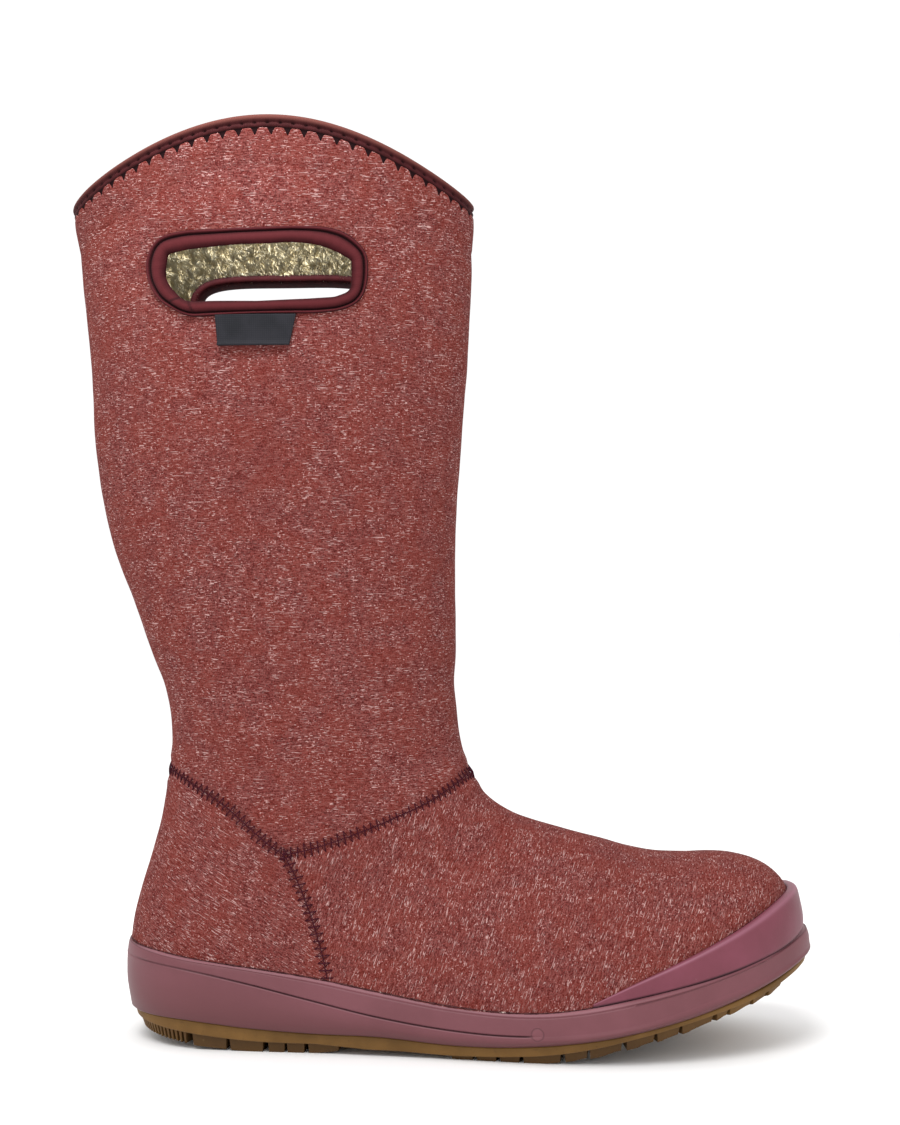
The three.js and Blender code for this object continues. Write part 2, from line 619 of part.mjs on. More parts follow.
// Outsole: a base under the midsole and the lugs, cut from a layer of the sole's own outline
function sideLug(lug, side) {
  const middle = (lug.from + lug.to) / 2;
  const edge = centreLine(middle) + side * soleHalfWidth(middle, side);
  const near = edge - side * lug.reach;
  const far = side * CUT_SIDE;
  return box(lug.from, lug.to, Math.min(near, far), Math.max(near, far), CUT_BELOW, CUT_LUGS);
}

// Ribs or bars across the foot, each reaching half to either side of the centre line
function barBoxes(bars) {
  const boxes = [];
  for (let i = 0; i < bars.count; i += 1) {
    const from = bars.from + i * bars.pitch;
    const middle = centreLine(from);
    boxes.push(box(from, from + bars.width, middle - bars.half, middle + bars.half, CUT_BELOW, CUT_LUGS));
  }
  return boxes;
}

function makeOutsole() {
  const base = soleStack([
    { inset: () => TREAD_INSET.web, height: (x) => level(x, 'web') },
    { inset: () => TREAD_INSET.seat, height: (x) => level(x, 'seat') - GAP },
  ]);
  const treadLayer = soleStack([
    { inset: () => TREAD_INSET.tread, height: (x) => level(x, 'tread') },
    { inset: () => TREAD_INSET.root, height: (x) => level(x, 'web') + LUG_ROOT },
  ]);
  const cutters = [HEEL_RIBS, TOE_RIBS, ...CENTRE_BARS].flatMap(barBoxes);
  for (const lug of SIDE_LUGS) cutters.push(sideLug(lug, -1), sideLug(lug, 1));
  const lugs = treadLayer.intersect(wasm.Manifold.union(cutters));
  return base.add(lugs);
}

// Insole: a footbed on the midsole's floor, inside the upper
function makeInsole() {
  const bottom = aboveLevel('floor', GAP, CUT_ABOVE);
  const top = aboveLevel('floor', GAP + INSOLE_THICKNESS, CUT_ABOVE);
  return lastSolid(-WALL - GAP, 0).intersect(bottom.subtract(top));
}

const boot = new THREE.Group();

function addPart(name, solid, color, roughness) {
  const material = new THREE.MeshStandardMaterial({ color, roughness, metalness: 0 });
  const mesh = new THREE.Mesh(geometryOf(solid), material);
  mesh.name = name;
  boot.add(mesh);
}

addPart('outsole', makeOutsole(), GUM_RUBBER, ROUGHNESS.gum);
addPart('midsole', makeMidsole(), MIDSOLE_RUBBER, ROUGHNESS.rubber);
addPart('toe_bumper', makeToeBumper(), BUMPER_RUBBER, ROUGHNESS.rubber);
addPart('upper', makeUpper(), FABRIC, ROUGHNESS.cloth);
addPart('insole', makeInsole(), FELT, ROUGHNESS.cloth);
addPart('collar_binding', makeCollarBinding(), COLLAR_TAPE_CLOTH, ROUGHNESS.tape);
addPart('handle_binding_lateral', makeHoleBinding(-1), HOLE_TAPE_CLOTH, ROUGHNESS.tape);
addPart('handle_binding_medial', makeHoleBinding(1), HOLE_TAPE_CLOTH, ROUGHNESS.tape);
addPart('label_tab', makeLabelTab(), LABEL_CLOTH, ROUGHNESS.label);

// The finished boot has its origin on the ground, under the middle of its bounding box
const extent = new THREE.Box3().setFromObject(boot);
const middle = extent.getCenter(new THREE.Vector3());
boot.position.set(-middle.x, -middle.y, -extent.min.z);

const part = new THREE.Group();
part.add(boot);

export default part;
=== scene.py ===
"""Looks of a tall pull-on boot for the right foot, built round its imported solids.

Shapes are worked out in millimetres in the construction frame: back of the heel at x = 0, ground at
z = 0, outer side of the foot towards -Y. to_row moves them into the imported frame, in metres.
"""

import math

import bpy
import numpy as np
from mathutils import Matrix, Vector
from mathutils.bvhtree import BVHTree


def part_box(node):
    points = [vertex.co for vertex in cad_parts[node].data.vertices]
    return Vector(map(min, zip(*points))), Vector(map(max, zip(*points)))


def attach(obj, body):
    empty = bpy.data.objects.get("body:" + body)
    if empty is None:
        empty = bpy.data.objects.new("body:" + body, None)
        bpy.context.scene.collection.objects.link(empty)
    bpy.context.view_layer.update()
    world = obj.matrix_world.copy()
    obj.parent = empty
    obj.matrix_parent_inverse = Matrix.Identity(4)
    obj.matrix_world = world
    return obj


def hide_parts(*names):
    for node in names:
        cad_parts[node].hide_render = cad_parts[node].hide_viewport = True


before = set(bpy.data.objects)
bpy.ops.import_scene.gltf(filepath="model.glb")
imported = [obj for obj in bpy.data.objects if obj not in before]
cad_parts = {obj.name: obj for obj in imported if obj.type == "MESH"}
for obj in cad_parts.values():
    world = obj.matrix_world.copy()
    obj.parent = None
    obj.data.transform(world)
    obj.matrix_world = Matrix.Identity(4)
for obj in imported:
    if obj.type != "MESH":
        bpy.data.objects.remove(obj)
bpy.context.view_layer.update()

# Driving dimensions, in millimetres
SOLE_LENGTH = 283.0
COLLAR_RISE = 29.3
COLLAR_SKEW = 0.05
COLLAR_FULLNESS = 0.94
WALL = 3.0
TOE_SHIFT = 6.0
TOE_SHIFT_START = 150.0
HOLE = {"x": 61.2, "z": 311.6, "length": 76.4, "height": 22.0}
INNER_HOLE_DROP = 5.2
HOLE_TAPE_WIDTH = 6.6
HOLE_EDGE_COVER = 3.2
TOOTH_PITCH = 6.6
TOOTH_HEIGHT = 2.6
DIMPLE_PITCH = 5.1
STITCH_PITCH = 2.7
STITCH_WIDTH = 5.2
RIB_PITCH = 0.6
STRIP_LIFTS = ((84, 1.1), (106, -1.5), (140, -1.4), (166, -0.5), (283, -0.3))
LUG_INSET = 6.2
ROW_Y = -1.20943

# The photo's camera, level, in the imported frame, with its picture in pixels
PICTURE = (900, 1125)
PICTURE_CENTRE = (455.2, 575.9)
FOCAL_PIXELS = 1928.8
CAMERA_PLACE = (0.07717, -0.79817, 0.1909)
CAMERA_TURN = 5

# Lines read off the photo, in its pixels: the seams below the ankle, the opening of the outer hand
# hole, the point of it where its binding overlaps, and the outer edge of the piping round it
SEAM_BACK_PX = (
    (176, 772), (188, 781), (200, 789), (211, 796), (222, 804), (233, 813), (245, 824), (258, 836),
    (270, 846), (284, 855),
)
SEAM_FRONT_PX = (
    (284, 855), (300, 852), (320, 846.5), (340, 840), (360, 832.5), (380, 824.5), (400, 815.5),
    (415, 809), (430, 801), (445, 791.5), (458, 782), (468, 773),
)
SEAM_DOWN_PX = ((286, 858), (294, 874), (301, 890), (308, 908), (314, 926), (319, 943), (323, 958), (327, 978))
HOLE_OPENING_PX = (
    (168.5, 254.4), (190.4, 249.4), (234, 244.8), (267.6, 243.5), (291.1, 242.3), (307.9, 243.5),
    (323, 246.5), (336.4, 251.9), (351.2, 260.3), (351.2, 278.8), (350.7, 288), (347.3, 292.2),
    (334.7, 296.9), (307.9, 298.6), (282.7, 299.7), (257.5, 300.9), (210.5, 300.9), (195.4, 301.8),
    (185.3, 300.6), (178.6, 295.5), (170.2, 286.3), (166.5, 277.9), (166, 273.7),
)
HOLE_SEAM_PX = (185.3, 300.6)
HOLE_PIPING_PX = (
    (145, 267), (147.6, 253.6), (155.1, 241.8), (166.9, 233.4), (185.3, 230.1), (220.6, 228.4),
    (257.5, 226.7), (291.1, 225.4), (321.3, 226), (341.4, 230.1), (358.2, 241), (366.6, 255.3),
    (368.6, 270.4), (366.6, 287.1), (359.9, 300.6), (349.8, 308.1), (333, 312), (316.3, 313.7),
    (257.5, 314), (207.1, 316.5), (190.4, 317.4), (176.9, 311.5), (160.1, 302.3), (150.1, 287.1),
)

# Ends of the ankle seams on the boot's middle line, at its back and its front, as x and z
SEAM_ENDS = ((16.8, 111.4), (145, 110.2))

SHIFT = np.array([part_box("midsole")[1].x * 1000 - SOLE_LENGTH, ROW_Y, 0.0])

# Sections of the upper from the collar over the instep to the toe: front x and z, back x and z,
# half widths to the outer and inner side, place of the widest point, front and back roundness,
# and the share of the collar arch
SECTIONS = np.array([
    (143.2, 343.2, -22.4, 343.2, 41, 41, 0.5, 2, 2, 1),
    (143.9, 319, -20.2, 319, 41.6, 41.6, 0.5, 2, 2, 0.62),
    (142.7, 295, -17.9, 295, 42.2, 42.2, 0.5, 2, 2, 0.25),
    (141.2, 271, -15.9, 271, 42.7, 42.7, 0.5, 2.05, 2.05, 0),
    (139.2, 246, -14.1, 246, 43, 43, 0.5, 2.1, 2.1, 0),
    (137.7, 222, -10.9, 222, 43, 43, 0.5, 2.1, 2.1, 0),
    (137, 200, -5.3, 200, 42.5, 42.5, 0.5, 2.1, 2.1, 0),
    (136.8, 179, 2.8, 179, 41.4, 41.4, 0.5, 2.1, 2.1, 0),
    (136.9, 160, 9.8, 160, 40.2, 40, 0.5, 2.1, 2.1, 0),
    (137.1, 144, 15.4, 144, 39.2, 39, 0.5, 2.1, 2.15, 0),
    (137.9, 130, 18.3, 129, 38.4, 38, 0.5, 2.1, 2.2, 0),
    (139.6, 120.6, 18.4, 116, 37.6, 37.2, 0.5, 2.1, 2.2, 0),
    (141.8, 113.7, 16.7, 103, 37.1, 36.6, 0.5, 2.1, 2.3, 0),
    (144.6, 108.2, 14.2, 89, 36.8, 36.2, 0.51, 2.1, 2.4, 0),
    (148, 102.8, 10.5, 75, 36.6, 35.9, 0.53, 2.1, 2.5, 0),
    (152.2, 98.6, 6.4, 61, 36.5, 35.7, 0.55, 2.1, 2.6, 0),
    (157, 95.3, 3.2, 47, 36.4, 35.5, 0.58, 2.1, 2.7, 0),
    (162.3, 92.5, 2.6, 33, 36.4, 35.4, 0.61, 2.1, 2.75, 0),
    (168, 90.5, 6, 19, 36.6, 35.2, 0.64, 2.1, 2.8, 0),
    (174.5, 88.6, 34, 13, 37, 35, 0.68, 2.1, 3, 0),
    (181.5, 86.8, 72, 12.2, 37.9, 35, 0.72, 2.1, 3.4, 0),
    (189.5, 84.8, 112, 10, 40.4, 36.4, 0.75, 2.1, 3.8, 0),
    (198.5, 82.4, 148, 8, 44.4, 39.8, 0.77, 2.15, 4, 0),
    (208.5, 79.5, 178, 7.9, 46.6, 43.8, 0.78, 2.2, 4, 0),
    (219.5, 77.6, 203, 12.4, 46.4, 45.9, 0.78, 2.3, 4, 0),
    (231, 77.3, 223, 17.2, 43.8, 45.9, 0.77, 2.4, 3.6, 0),
    (242, 77.6, 238.5, 21, 40, 44.4, 0.75, 2.4, 3.2, 0),
    (251.5, 76.7, 250, 25, 35.6, 41.2, 0.72, 2.4, 2.8, 0),
    (260, 74.3, 259.5, 29.2, 30, 36, 0.68, 2.3, 2.6, 0),
    (266.6, 70.6, 267, 33.4, 23.8, 29.2, 0.64, 2.2, 2.4, 0),
    (271.2, 66.2, 272.2, 38, 17, 21.6, 0.6, 2.1, 2.3, 0),
    (273.8, 61.4, 275.4, 42.4, 10, 13.4, 0.56, 2, 2.2, 0),
])
TOE_POINT = (276.2, 51.5)

# Half widths of the midsole to the outer and inner side
SOLE_PLAN = np.array([
    (0, 37.5, 37.5), (50, 39.2, 38.6), (95, 40.6, 37.6), (130, 43.2, 38.4),
    (165, 48, 42.6), (200, 51, 48), (235, 51, 51), (283, 50, 51),
])

# Heights along the sole: rim and groove of the midsole, its floor, its joint with the outsole,
# the outsole between its lugs, and the face of the lugs
LEVEL_NAMES = ("rim", "groove", "floor", "seat", "web", "tread")
SOLE_LEVELS = np.array([
    (0, 41.5, 36, 18.5, 13, 9, 6.5),
    (30, 37.5, 33.5, 18, 12.5, 6, 2.5),
    (56, 34.5, 28.5, 17, 10, 3.5, 0),
    (82, 31, 22.5, 16, 8.5, 3, 0),
    (110, 26, 16.5, 14.5, 8, 4, 3),
    (140, 21.5, 12.5, 12.5, 6, 3, 0),
    (176, 20.5, 12, 13, 7.5, 4, 0),
    (214, 27, 17.5, 18, 13.5, 11.5, 8),
    (246, 35, 27, 27, 22, 20, 17),
    (262, 40, 32, 32.5, 27.5, 25, 22),
    (283, 48, 40.5, 42, 37, 34.5, 32),
])
GROOVE_START = 4.0
GROOVE_END = 172.0
GROOVE_DEPTH = 0.8

# Top edge of the toe bumper
BUMPER_START = 193.2
BUMPER_EDGE = np.array([(195, 24.5), (208, 31), (234, 43), (256, 54), (270, 62), (284, 68)])

# Lugs of the outsole, from and to along the foot, and how far in they reach
SIDE_LUGS = (
    (32.9, 47.4, 17), (48.8, 62.4, 17), (64.6, 71.2, 15), (72.2, 79.2, 15), (80.8, 93, 14),
    (138, 146.4, 15), (148, 155.8, 15), (157.4, 165.3, 15), (166.8, 181.6, 18),
    (183.4, 192.2, 16), (193.4, 206.4, 18), (208.6, 219.8, 18), (221.2, 230, 16),
    (231.4, 243.8, 16), (245.8, 250.2, 14), (251.4, 260.2, 14), (261.4, 267, 12),
    (268.6, 274.6, 9),
)
HEEL_COMB = {"to": 32.0, "pitch": 2.4, "width": 1.4}
CENTRE_BARS = (
    {"start": 38, "pitch": 14, "width": 8.6, "count": 4, "half": 16, "tilt": 2.5},
    {"start": 146, "pitch": 16.4, "width": 10, "count": 6, "half": 21, "tilt": 2.5},
)


# Interpolation and noise
def smooth(keys, rows, at):
    """Smooth curve through rows of values at keys, as in the construction of the solids."""
    keys = np.asarray(keys, float)
    rows = np.asarray(rows, float)
    flat = rows.ndim == 1
    rows = rows.reshape(len(keys), -1)
    at = np.clip(np.atleast_1d(np.asarray(at, float)), keys[0], keys[-1])
    width = np.diff(keys)
    slope = np.diff(rows, axis=0) / width[:, None]
    before, after = width[:-1, None], width[1:, None]
    middle = (slope[:-1] * after + slope[1:] * before) / (before + after)
    tangent = np.vstack([slope[:1], middle, slope[-1:]])
    i = np.clip(np.searchsorted(keys, at, side="right") - 1, 0, len(width) - 1)
    w = width[i][:, None]
    t = ((at - keys[i]) / width[i])[:, None]
    ease = t * t * (3 - 2 * t)
    made = rows[i] * (1 - ease) + rows[i + 1] * ease
    made = made + t * (1 - t) ** 2 * w * tangent[i] + t * t * (t - 1) * w * tangent[i + 1]
    return made[:, 0] if flat else made


def waves(points, length, seed, count=7):
    """Smooth noise from -1 to 1 with about the given wavelength, the same each run."""
    source = np.random.default_rng(seed)
    total = np.zeros(points.shape[:-1])
    for _ in range(count):
        direction = source.normal(size=3)
        direction /= np.linalg.norm(direction)
        rate = 2 * math.pi / (length * source.uniform(0.7, 1.5))
        total += np.sin(points @ direction * rate + source.uniform(0, 2 * math.pi))
    return total / math.sqrt(count * 2)


def step(value, low, high):
    t = np.clip((value - low) / (high - low), 0, 1)
    return t * t * (3 - 2 * t)


def centre_line(x):
    share = np.clip((x - TOE_SHIFT_START) / (SOLE_LENGTH - TOE_SHIFT_START), 0, 1)
    return TOE_SHIFT * share ** 2


def level(x, name):
    column = LEVEL_NAMES.index(name) + 1
    x = np.asarray(x, float)
    made = smooth(SOLE_LEVELS[:, 0], SOLE_LEVELS[:, column], x.ravel())
    return np.maximum(made, 0).reshape(x.shape)


def collar_lift(x):
    front, back = SECTIONS[0, 0], SECTIONS[0, 2]
    across = (2 * x - front - back) / (front - back)
    skewed = across - COLLAR_SKEW * (1 - across * across)
    return COLLAR_RISE * np.maximum(np.cos(skewed * math.pi / 2), 0) ** COLLAR_FULLNESS


def along(points):
    """Distance run along a line of points."""
    steps = np.linalg.norm(np.diff(points, axis=0), axis=1)
    return np.concatenate([[0], np.cumsum(steps)])


def resample(points, count):
    run = along(points)
    at = np.linspace(0, run[-1], count)
    return np.stack([np.interp(at, run, points[:, k]) for k in range(points.shape[1])], 1)


def unit(vectors):
    return vectors / np.maximum(np.linalg.norm(vectors, axis=-1, keepdims=True), 1e-9)


# The last: the outer surface of the upper as rings from the collar to the toe
def half_ring(row, side, count):
    front_x, front_z, back_x, back_z, outer, inner, widest, front_round, back_round, lift = row
    angle = np.linspace(0, math.pi, 241)
    across = np.cos(angle)
    power = 2 / np.where(across >= 0, front_round, back_round)
    reach = np.abs(across) ** power
    width = np.abs(np.sin(angle)) ** power
    share = np.where(across >= 0, widest * (1 - reach), widest + (1 - widest) * reach)
    x = front_x + (back_x - front_x) * share
    z = front_z + (back_z - front_z) * share + lift * collar_lift(x)
    y = side * (outer if side < 0 else inner) * width + centre_line(x)
    return resample(np.stack([x, y, z], 1), count)


def last_grid(rings, around):
    """Points of the last, rings by around, and their outward normals."""
    front = np.linalg.norm(np.diff(SECTIONS[:, 0:2], axis=0), axis=1)
    back = np.linalg.norm(np.diff(SECTIONS[:, 2:4], axis=0), axis=1)
    keys = np.concatenate([[0], np.cumsum((front + back) / 2)])
    rows = smooth(keys, SECTIONS, np.linspace(0, keys[-1], rings - 4))
    half = around // 2
    grid = []
    for row in rows:
        outer = half_ring(row, -1, half + 1)
        inner = half_ring(row, 1, half + 1)
        grid.append(np.vstack([outer, inner[1:-1][::-1]]))
    toe = np.array([TOE_POINT[0], centre_line(TOE_POINT[0]), TOE_POINT[1]])
    for share in (0.35, 0.65, 0.87, 0.98):
        shrink = math.sqrt(1 - share * share)
        grid.append(toe + (grid[rings - 5] - toe) * [shrink, shrink, shrink])
    grid = np.array(grid)
    ring_way = np.roll(grid, -1, axis=1) - np.roll(grid, 1, axis=1)
    foot_way = np.gradient(grid, axis=0)
    return grid, unit(np.cross(ring_way, foot_way))


def grid_faces(rows, columns, closed=True):
    """Quads of a grid of points, wrapped round its columns where it is closed."""
    i, j = np.meshgrid(np.arange(rows - 1), np.arange(columns if closed else columns - 1), indexing="ij")
    after = (j + 1) % columns
    quads = [i * columns + j, i * columns + after, (i + 1) * columns + after, (i + 1) * columns + j]
    return np.stack(quads, -1).reshape(-1, 4)


# Pieces
def to_row(points):
    return (np.asarray(points, float) + SHIFT) / 1000


def make_piece(name, points, faces, material, replaced=(), values=None, flat=False):
    """A mesh piece from points in the construction frame. values are named numbers per point."""
    mesh = bpy.data.meshes.new(name)
    placed = to_row(points)
    if isinstance(faces, np.ndarray):
        count, corners = faces.shape
        mesh.vertices.add(len(placed))
        mesh.vertices.foreach_set("co", placed.astype(np.float32).ravel())
        mesh.loops.add(count * corners)
        mesh.loops.foreach_set("vertex_index", faces.astype(np.int32).ravel())
        mesh.polygons.add(count)
        mesh.polygons.foreach_set("loop_start", np.arange(0, count * corners, corners, dtype=np.int32))
        mesh.update(calc_edges=True)
    else:
        mesh.from_pydata(placed.tolist(), [], [list(map(int, f)) for f in faces])
    for key, value in (values or {}).items():
        data = mesh.attributes.new(key, "FLOAT", "POINT")
        data.data.foreach_set("value", np.asarray(value, np.float32))
    mesh.materials.append(material)
    mesh.polygons.foreach_set("use_smooth", [not flat] * len(mesh.polygons))
    mesh.validate()
    mesh.update()
    piece = bpy.data.objects.new(name, mesh)
    bpy.context.scene.collection.objects.link(piece)
    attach(piece, "root")
    if replaced:
        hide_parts(*replaced)
    return piece


def join_parts(parts):
    """One list of points and one of faces from several."""
    points, faces, start = [], [], 0
    for part_points, part_faces in parts:
        points.append(np.asarray(part_points, float))
        faces += [[int(v) + start for v in face] for face in part_faces]
        start += len(part_points)
    return np.vstack(points), faces


def tube(path, radius, sides=6):
    """A closed tube along a line of points. radius is a number or one per point."""
    path = np.asarray(path, float)
    radius = np.broadcast_to(radius, (len(path),))
    way = unit(np.gradient(path, axis=0))
    up = np.array([0.0, 1.0, 0.0])
    side = unit(np.cross(way, up))
    other = np.cross(way, side)
    turn = 2 * math.pi * np.arange(sides) / sides
    ring = side[:, None] * np.cos(turn)[None, :, None] + other[:, None] * np.sin(turn)[None, :, None]
    points = path[:, None] + ring * radius[:, None, None]
    faces = grid_faces(len(path), sides).tolist()
    faces.append(list(range(sides))[::-1])
    faces.append([(len(path) - 1) * sides + k for k in range(sides)])
    return points.reshape(-1, 3), faces


# Materials
class Shader:
    """A material made of nodes. Inputs are numbers, colours or other nodes' outputs."""

    def __init__(self, name):
        self.material = bpy.data.materials.new(name)
        self.material.use_nodes = True
        self.tree = self.material.node_tree
        self.tree.nodes.clear()

    def add(self, kind, inputs=None, **settings):
        node = self.tree.nodes.new("ShaderNode" + kind)
        for key, value in settings.items():
            setattr(node, key, value)
        for key, value in (inputs or {}).items():
            socket = node.inputs[key]
            if isinstance(value, bpy.types.NodeSocket):
                self.tree.links.new(value, socket)
            else:
                socket.default_value = value
        return node

    def math(self, operation, first, second=0.0, third=0.0):
        node = self.add("Math", {0: first, 1: second, 2: third}, operation=operation)
        return node.outputs[0]

    def ramp(self, value, low, high):
        """0 below low and 1 above high."""
        inputs = {"Value": value, "From Min": low, "From Max": high}
        return self.add("MapRange", inputs, interpolation_type="SMOOTHSTEP").outputs[0]

    def mix(self, share, first, second):
        node = self.add("Mix", {0: share, 6: first, 7: second}, data_type="RGBA")
        return node.outputs[2]

    def position(self):
        return self.add("TexCoord").outputs["Object"]

    def value(self, name):
        return self.add("Attribute", attribute_name=name).outputs["Fac"]

    def dot(self, vector, direction):
        node = self.add("VectorMath", {0: vector, 1: direction}, operation="DOT_PRODUCT")
        return node.outputs["Value"]

    def noise(self, vector, scale, detail=2.0, roughness=0.5):
        inputs = {"Vector": vector, "Scale": scale, "Detail": detail, "Roughness": roughness}
        return self.add("TexNoise", inputs).outputs[0]

    def bump(self, height, distance, strength=1.0, normal=None):
        inputs = {"Height": height, "Distance": distance, "Strength": strength}
        if normal:
            inputs["Normal"] = normal
        return self.add("Bump", inputs).outputs[0]

    def finish(self, inputs):
        shader = self.add("BsdfPrincipled", inputs)
        output = self.add("OutputMaterial")
        self.tree.links.new(shader.outputs[0], output.inputs[0])
        return self.material


def linear(red, green, blue):
    """A colour from sRGB numbers out of 255."""
    made = []
    for part in (red, green, blue):
        share = part / 255
        made.append(share / 12.92 if share <= 0.04045 else ((share + 0.055) / 1.055) ** 2.4)
    return (*made, 1.0)


def heather_fabric():
    """Jersey with a brick red ground and pale flecks that run along each panel's thread."""
    s = Shader("heather_fabric")
    place = s.position()
    lower = s.math("GREATER_THAN", s.value("below_seam"), 0.0)
    front = s.math("GREATER_THAN", s.value("before_seam"), 0.0)

    def thread(degrees, length, width):
        turn = math.radians(degrees)
        along_way = s.dot(place, (math.cos(turn), 0, math.sin(turn)))
        across_way = s.dot(place, (-math.sin(turn), 0, math.cos(turn)))
        side_way = s.dot(place, (0, 1, 0))
        parts = {
            0: s.math("DIVIDE", along_way, length / 1000),
            1: s.math("DIVIDE", side_way, length / 1000),
            2: s.math("DIVIDE", across_way, width / 1000),
        }
        return s.add("CombineXYZ", parts).outputs[0]

    def pattern(length, width, detail=0.0):
        shaft = thread(0, length, width)
        heel = thread(-28, length, width)
        foot = thread(72, length, width)
        foot_or_heel = s.add("Mix", {0: front, 4: heel, 5: foot}, data_type="VECTOR").outputs[1]
        chosen = s.add("Mix", {0: lower, 4: shaft, 5: foot_or_heel}, data_type="VECTOR").outputs[1]
        return s.noise(chosen, 1.0, detail)

    grain = s.noise(place, 1700, 1.5, 0.6)
    streaks = pattern(2.4, 0.42, 2.0)
    clouds = s.noise(place, 170, 1.5)
    heat = s.noise(place, 90, 1)
    patches = s.noise(place, 24, 2)
    ground = s.mix(s.ramp(grain, 0.36, 0.64), linear(72, 24, 22), linear(118, 56, 53))
    ground = s.mix(s.math("MULTIPLY", s.ramp(streaks, 0.4, 0.72), 0.42), ground, linear(158, 106, 101))
    ground = s.mix(s.math("MULTIPLY", s.ramp(heat, 0.35, 0.65), 0.2), ground, linear(128, 50, 34))
    crowd = s.math("MULTIPLY", s.ramp(clouds, 0.35, 0.65), 0.06)
    dashes = s.ramp(s.math("ADD", pattern(2.0, 0.34), crowd), 0.715, 0.83)
    long_dashes = s.ramp(s.math("ADD", pattern(5.5, 0.32), crowd), 0.78, 0.88)
    dots = s.ramp(s.math("ADD", s.noise(place, 1700, 0), crowd), 0.74, 0.88)
    shown = s.math("MAXIMUM", s.math("MAXIMUM", dashes, long_dashes), dots)
    colour = s.mix(s.math("MULTIPLY", shown, 0.76), ground, linear(196, 160, 156))
    colour = s.mix(s.math("MULTIPLY", s.ramp(patches, 0.35, 0.7), 0.14), colour, linear(98, 42, 38))
    # Darker near the seams: painted shade of the seams' valleys
    seam = s.math("SUBTRACT", 1.0, s.ramp(s.value("seam"), 0.8, 3.4))
    colour = s.mix(s.math("MULTIPLY", seam, 0.12), colour, linear(84, 32, 34))
    normal = s.bump(s.math("ADD", grain, s.math("MULTIPLY", shown, 0.4)), 0.00025, 0.45)
    return s.finish({"Base Color": colour, "Roughness": 0.95, "Specular IOR Level": 0.06, "Normal": normal})


def plum_rubber(name, low, high, roughness):
    """Satin rubber with slight clouding, fine grain and dust, a painted highlight with some wear along its top edge,
    and a dark foot.
    """
    s = Shader(name)
    place = s.position()
    clouds = s.noise(place, 38, 4, 0.6)
    colour = s.mix(s.ramp(clouds, 0.3, 0.72), low, high)
    # Painted highlight, with some wear, along the top edge
    colour = s.mix(s.math("MULTIPLY", s.value("wear_and_highlight"), 0.4), colour, linear(160, 108, 126))
    colour = s.mix(s.math("MULTIPLY", s.value("joint_and_shade"), 0.92), colour, linear(34, 14, 20))
    dust = s.ramp(s.noise(place, 900, 3, 0.7), 0.68, 0.8)
    colour = s.mix(s.math("MULTIPLY", dust, 0.12), colour, linear(205, 180, 185))
    grain = s.noise(place, 1500, 2)
    patch = s.noise(place, 60, 3)
    polish = s.add("MapRange", {"Value": patch, "To Min": roughness - 0.06, "To Max": roughness + 0.08})
    normal = s.bump(grain, 0.0001, 0.3)
    normal = s.bump(patch, 0.0006, 0.15, normal)
    return s.finish({
        "Base Color": colour, "Roughness": polish.outputs[0], "Normal": normal, "Specular IOR Level": 0.3,
    })


def midsole_rubber():
    """Plum rubber with painted shade towards its foot, a painted highlight with some wear along its rim, and a faint
    moulded ring.
    """
    s = Shader("midsole_rubber")
    place = s.position()
    centre = to_row([173.3, 0, 12.6])
    near = s.add("VectorMath", {0: place, 1: (1, 0, 1)}, operation="MULTIPLY").outputs[0]
    middle = (float(centre[0]), 0.0, float(centre[2]))
    reach = s.add("VectorMath", {0: near, 1: middle}, operation="DISTANCE").outputs["Value"]
    off = s.math("ABSOLUTE", s.math("SUBTRACT", reach, 0.0024))
    ring = s.math("SUBTRACT", 1.0, s.ramp(off, 0.00012, 0.0004))
    disc = s.math("SUBTRACT", 1.0, s.ramp(reach, 0.002, 0.0024))
    clouds = s.noise(place, 38, 4, 0.6)
    colour = s.mix(s.ramp(clouds, 0.3, 0.72), linear(104, 59, 65), linear(112, 65, 72))
    # Painted shade: darker towards the foot
    colour = s.mix(s.ramp(s.value("low"), 0.0, 1.0), colour, linear(98, 55, 59))
    # Painted highlight, with some wear, along the rim's top edge and under the groove
    colour = s.mix(s.math("MULTIPLY", s.value("wear_and_highlight"), 0.6), colour, linear(156, 110, 118))
    colour = s.mix(s.math("MULTIPLY", disc, 0.18), colour, linear(130, 78, 86))
    # The groove and the moulded ring are darkened as painted shade
    dark = s.math("MAXIMUM", s.value("groove"), s.math("MULTIPLY", ring, 0.35))
    colour = s.mix(s.math("MULTIPLY", dark, 0.8), colour, linear(48, 22, 28))
    colour = s.mix(s.math("MULTIPLY", s.value("joint_and_shade"), 0.85), colour, linear(40, 18, 20))
    dust = s.ramp(s.noise(place, 900, 3, 0.7), 0.68, 0.8)
    colour = s.mix(s.math("MULTIPLY", dust, 0.1), colour, linear(190, 165, 170))
    normal = s.bump(s.math("MULTIPLY", ring, -1.0), 0.0004, 0.5)
    normal = s.bump(s.noise(place, 1500, 2), 0.0001, 0.3, normal)
    polish = s.add("MapRange", {"Value": s.noise(place, 60, 3), "To Min": 0.4, "To Max": 0.56})
    return s.finish({
        "Base Color": colour, "Roughness": polish.outputs[0], "Normal": normal, "Specular IOR Level": 0.3,
    })


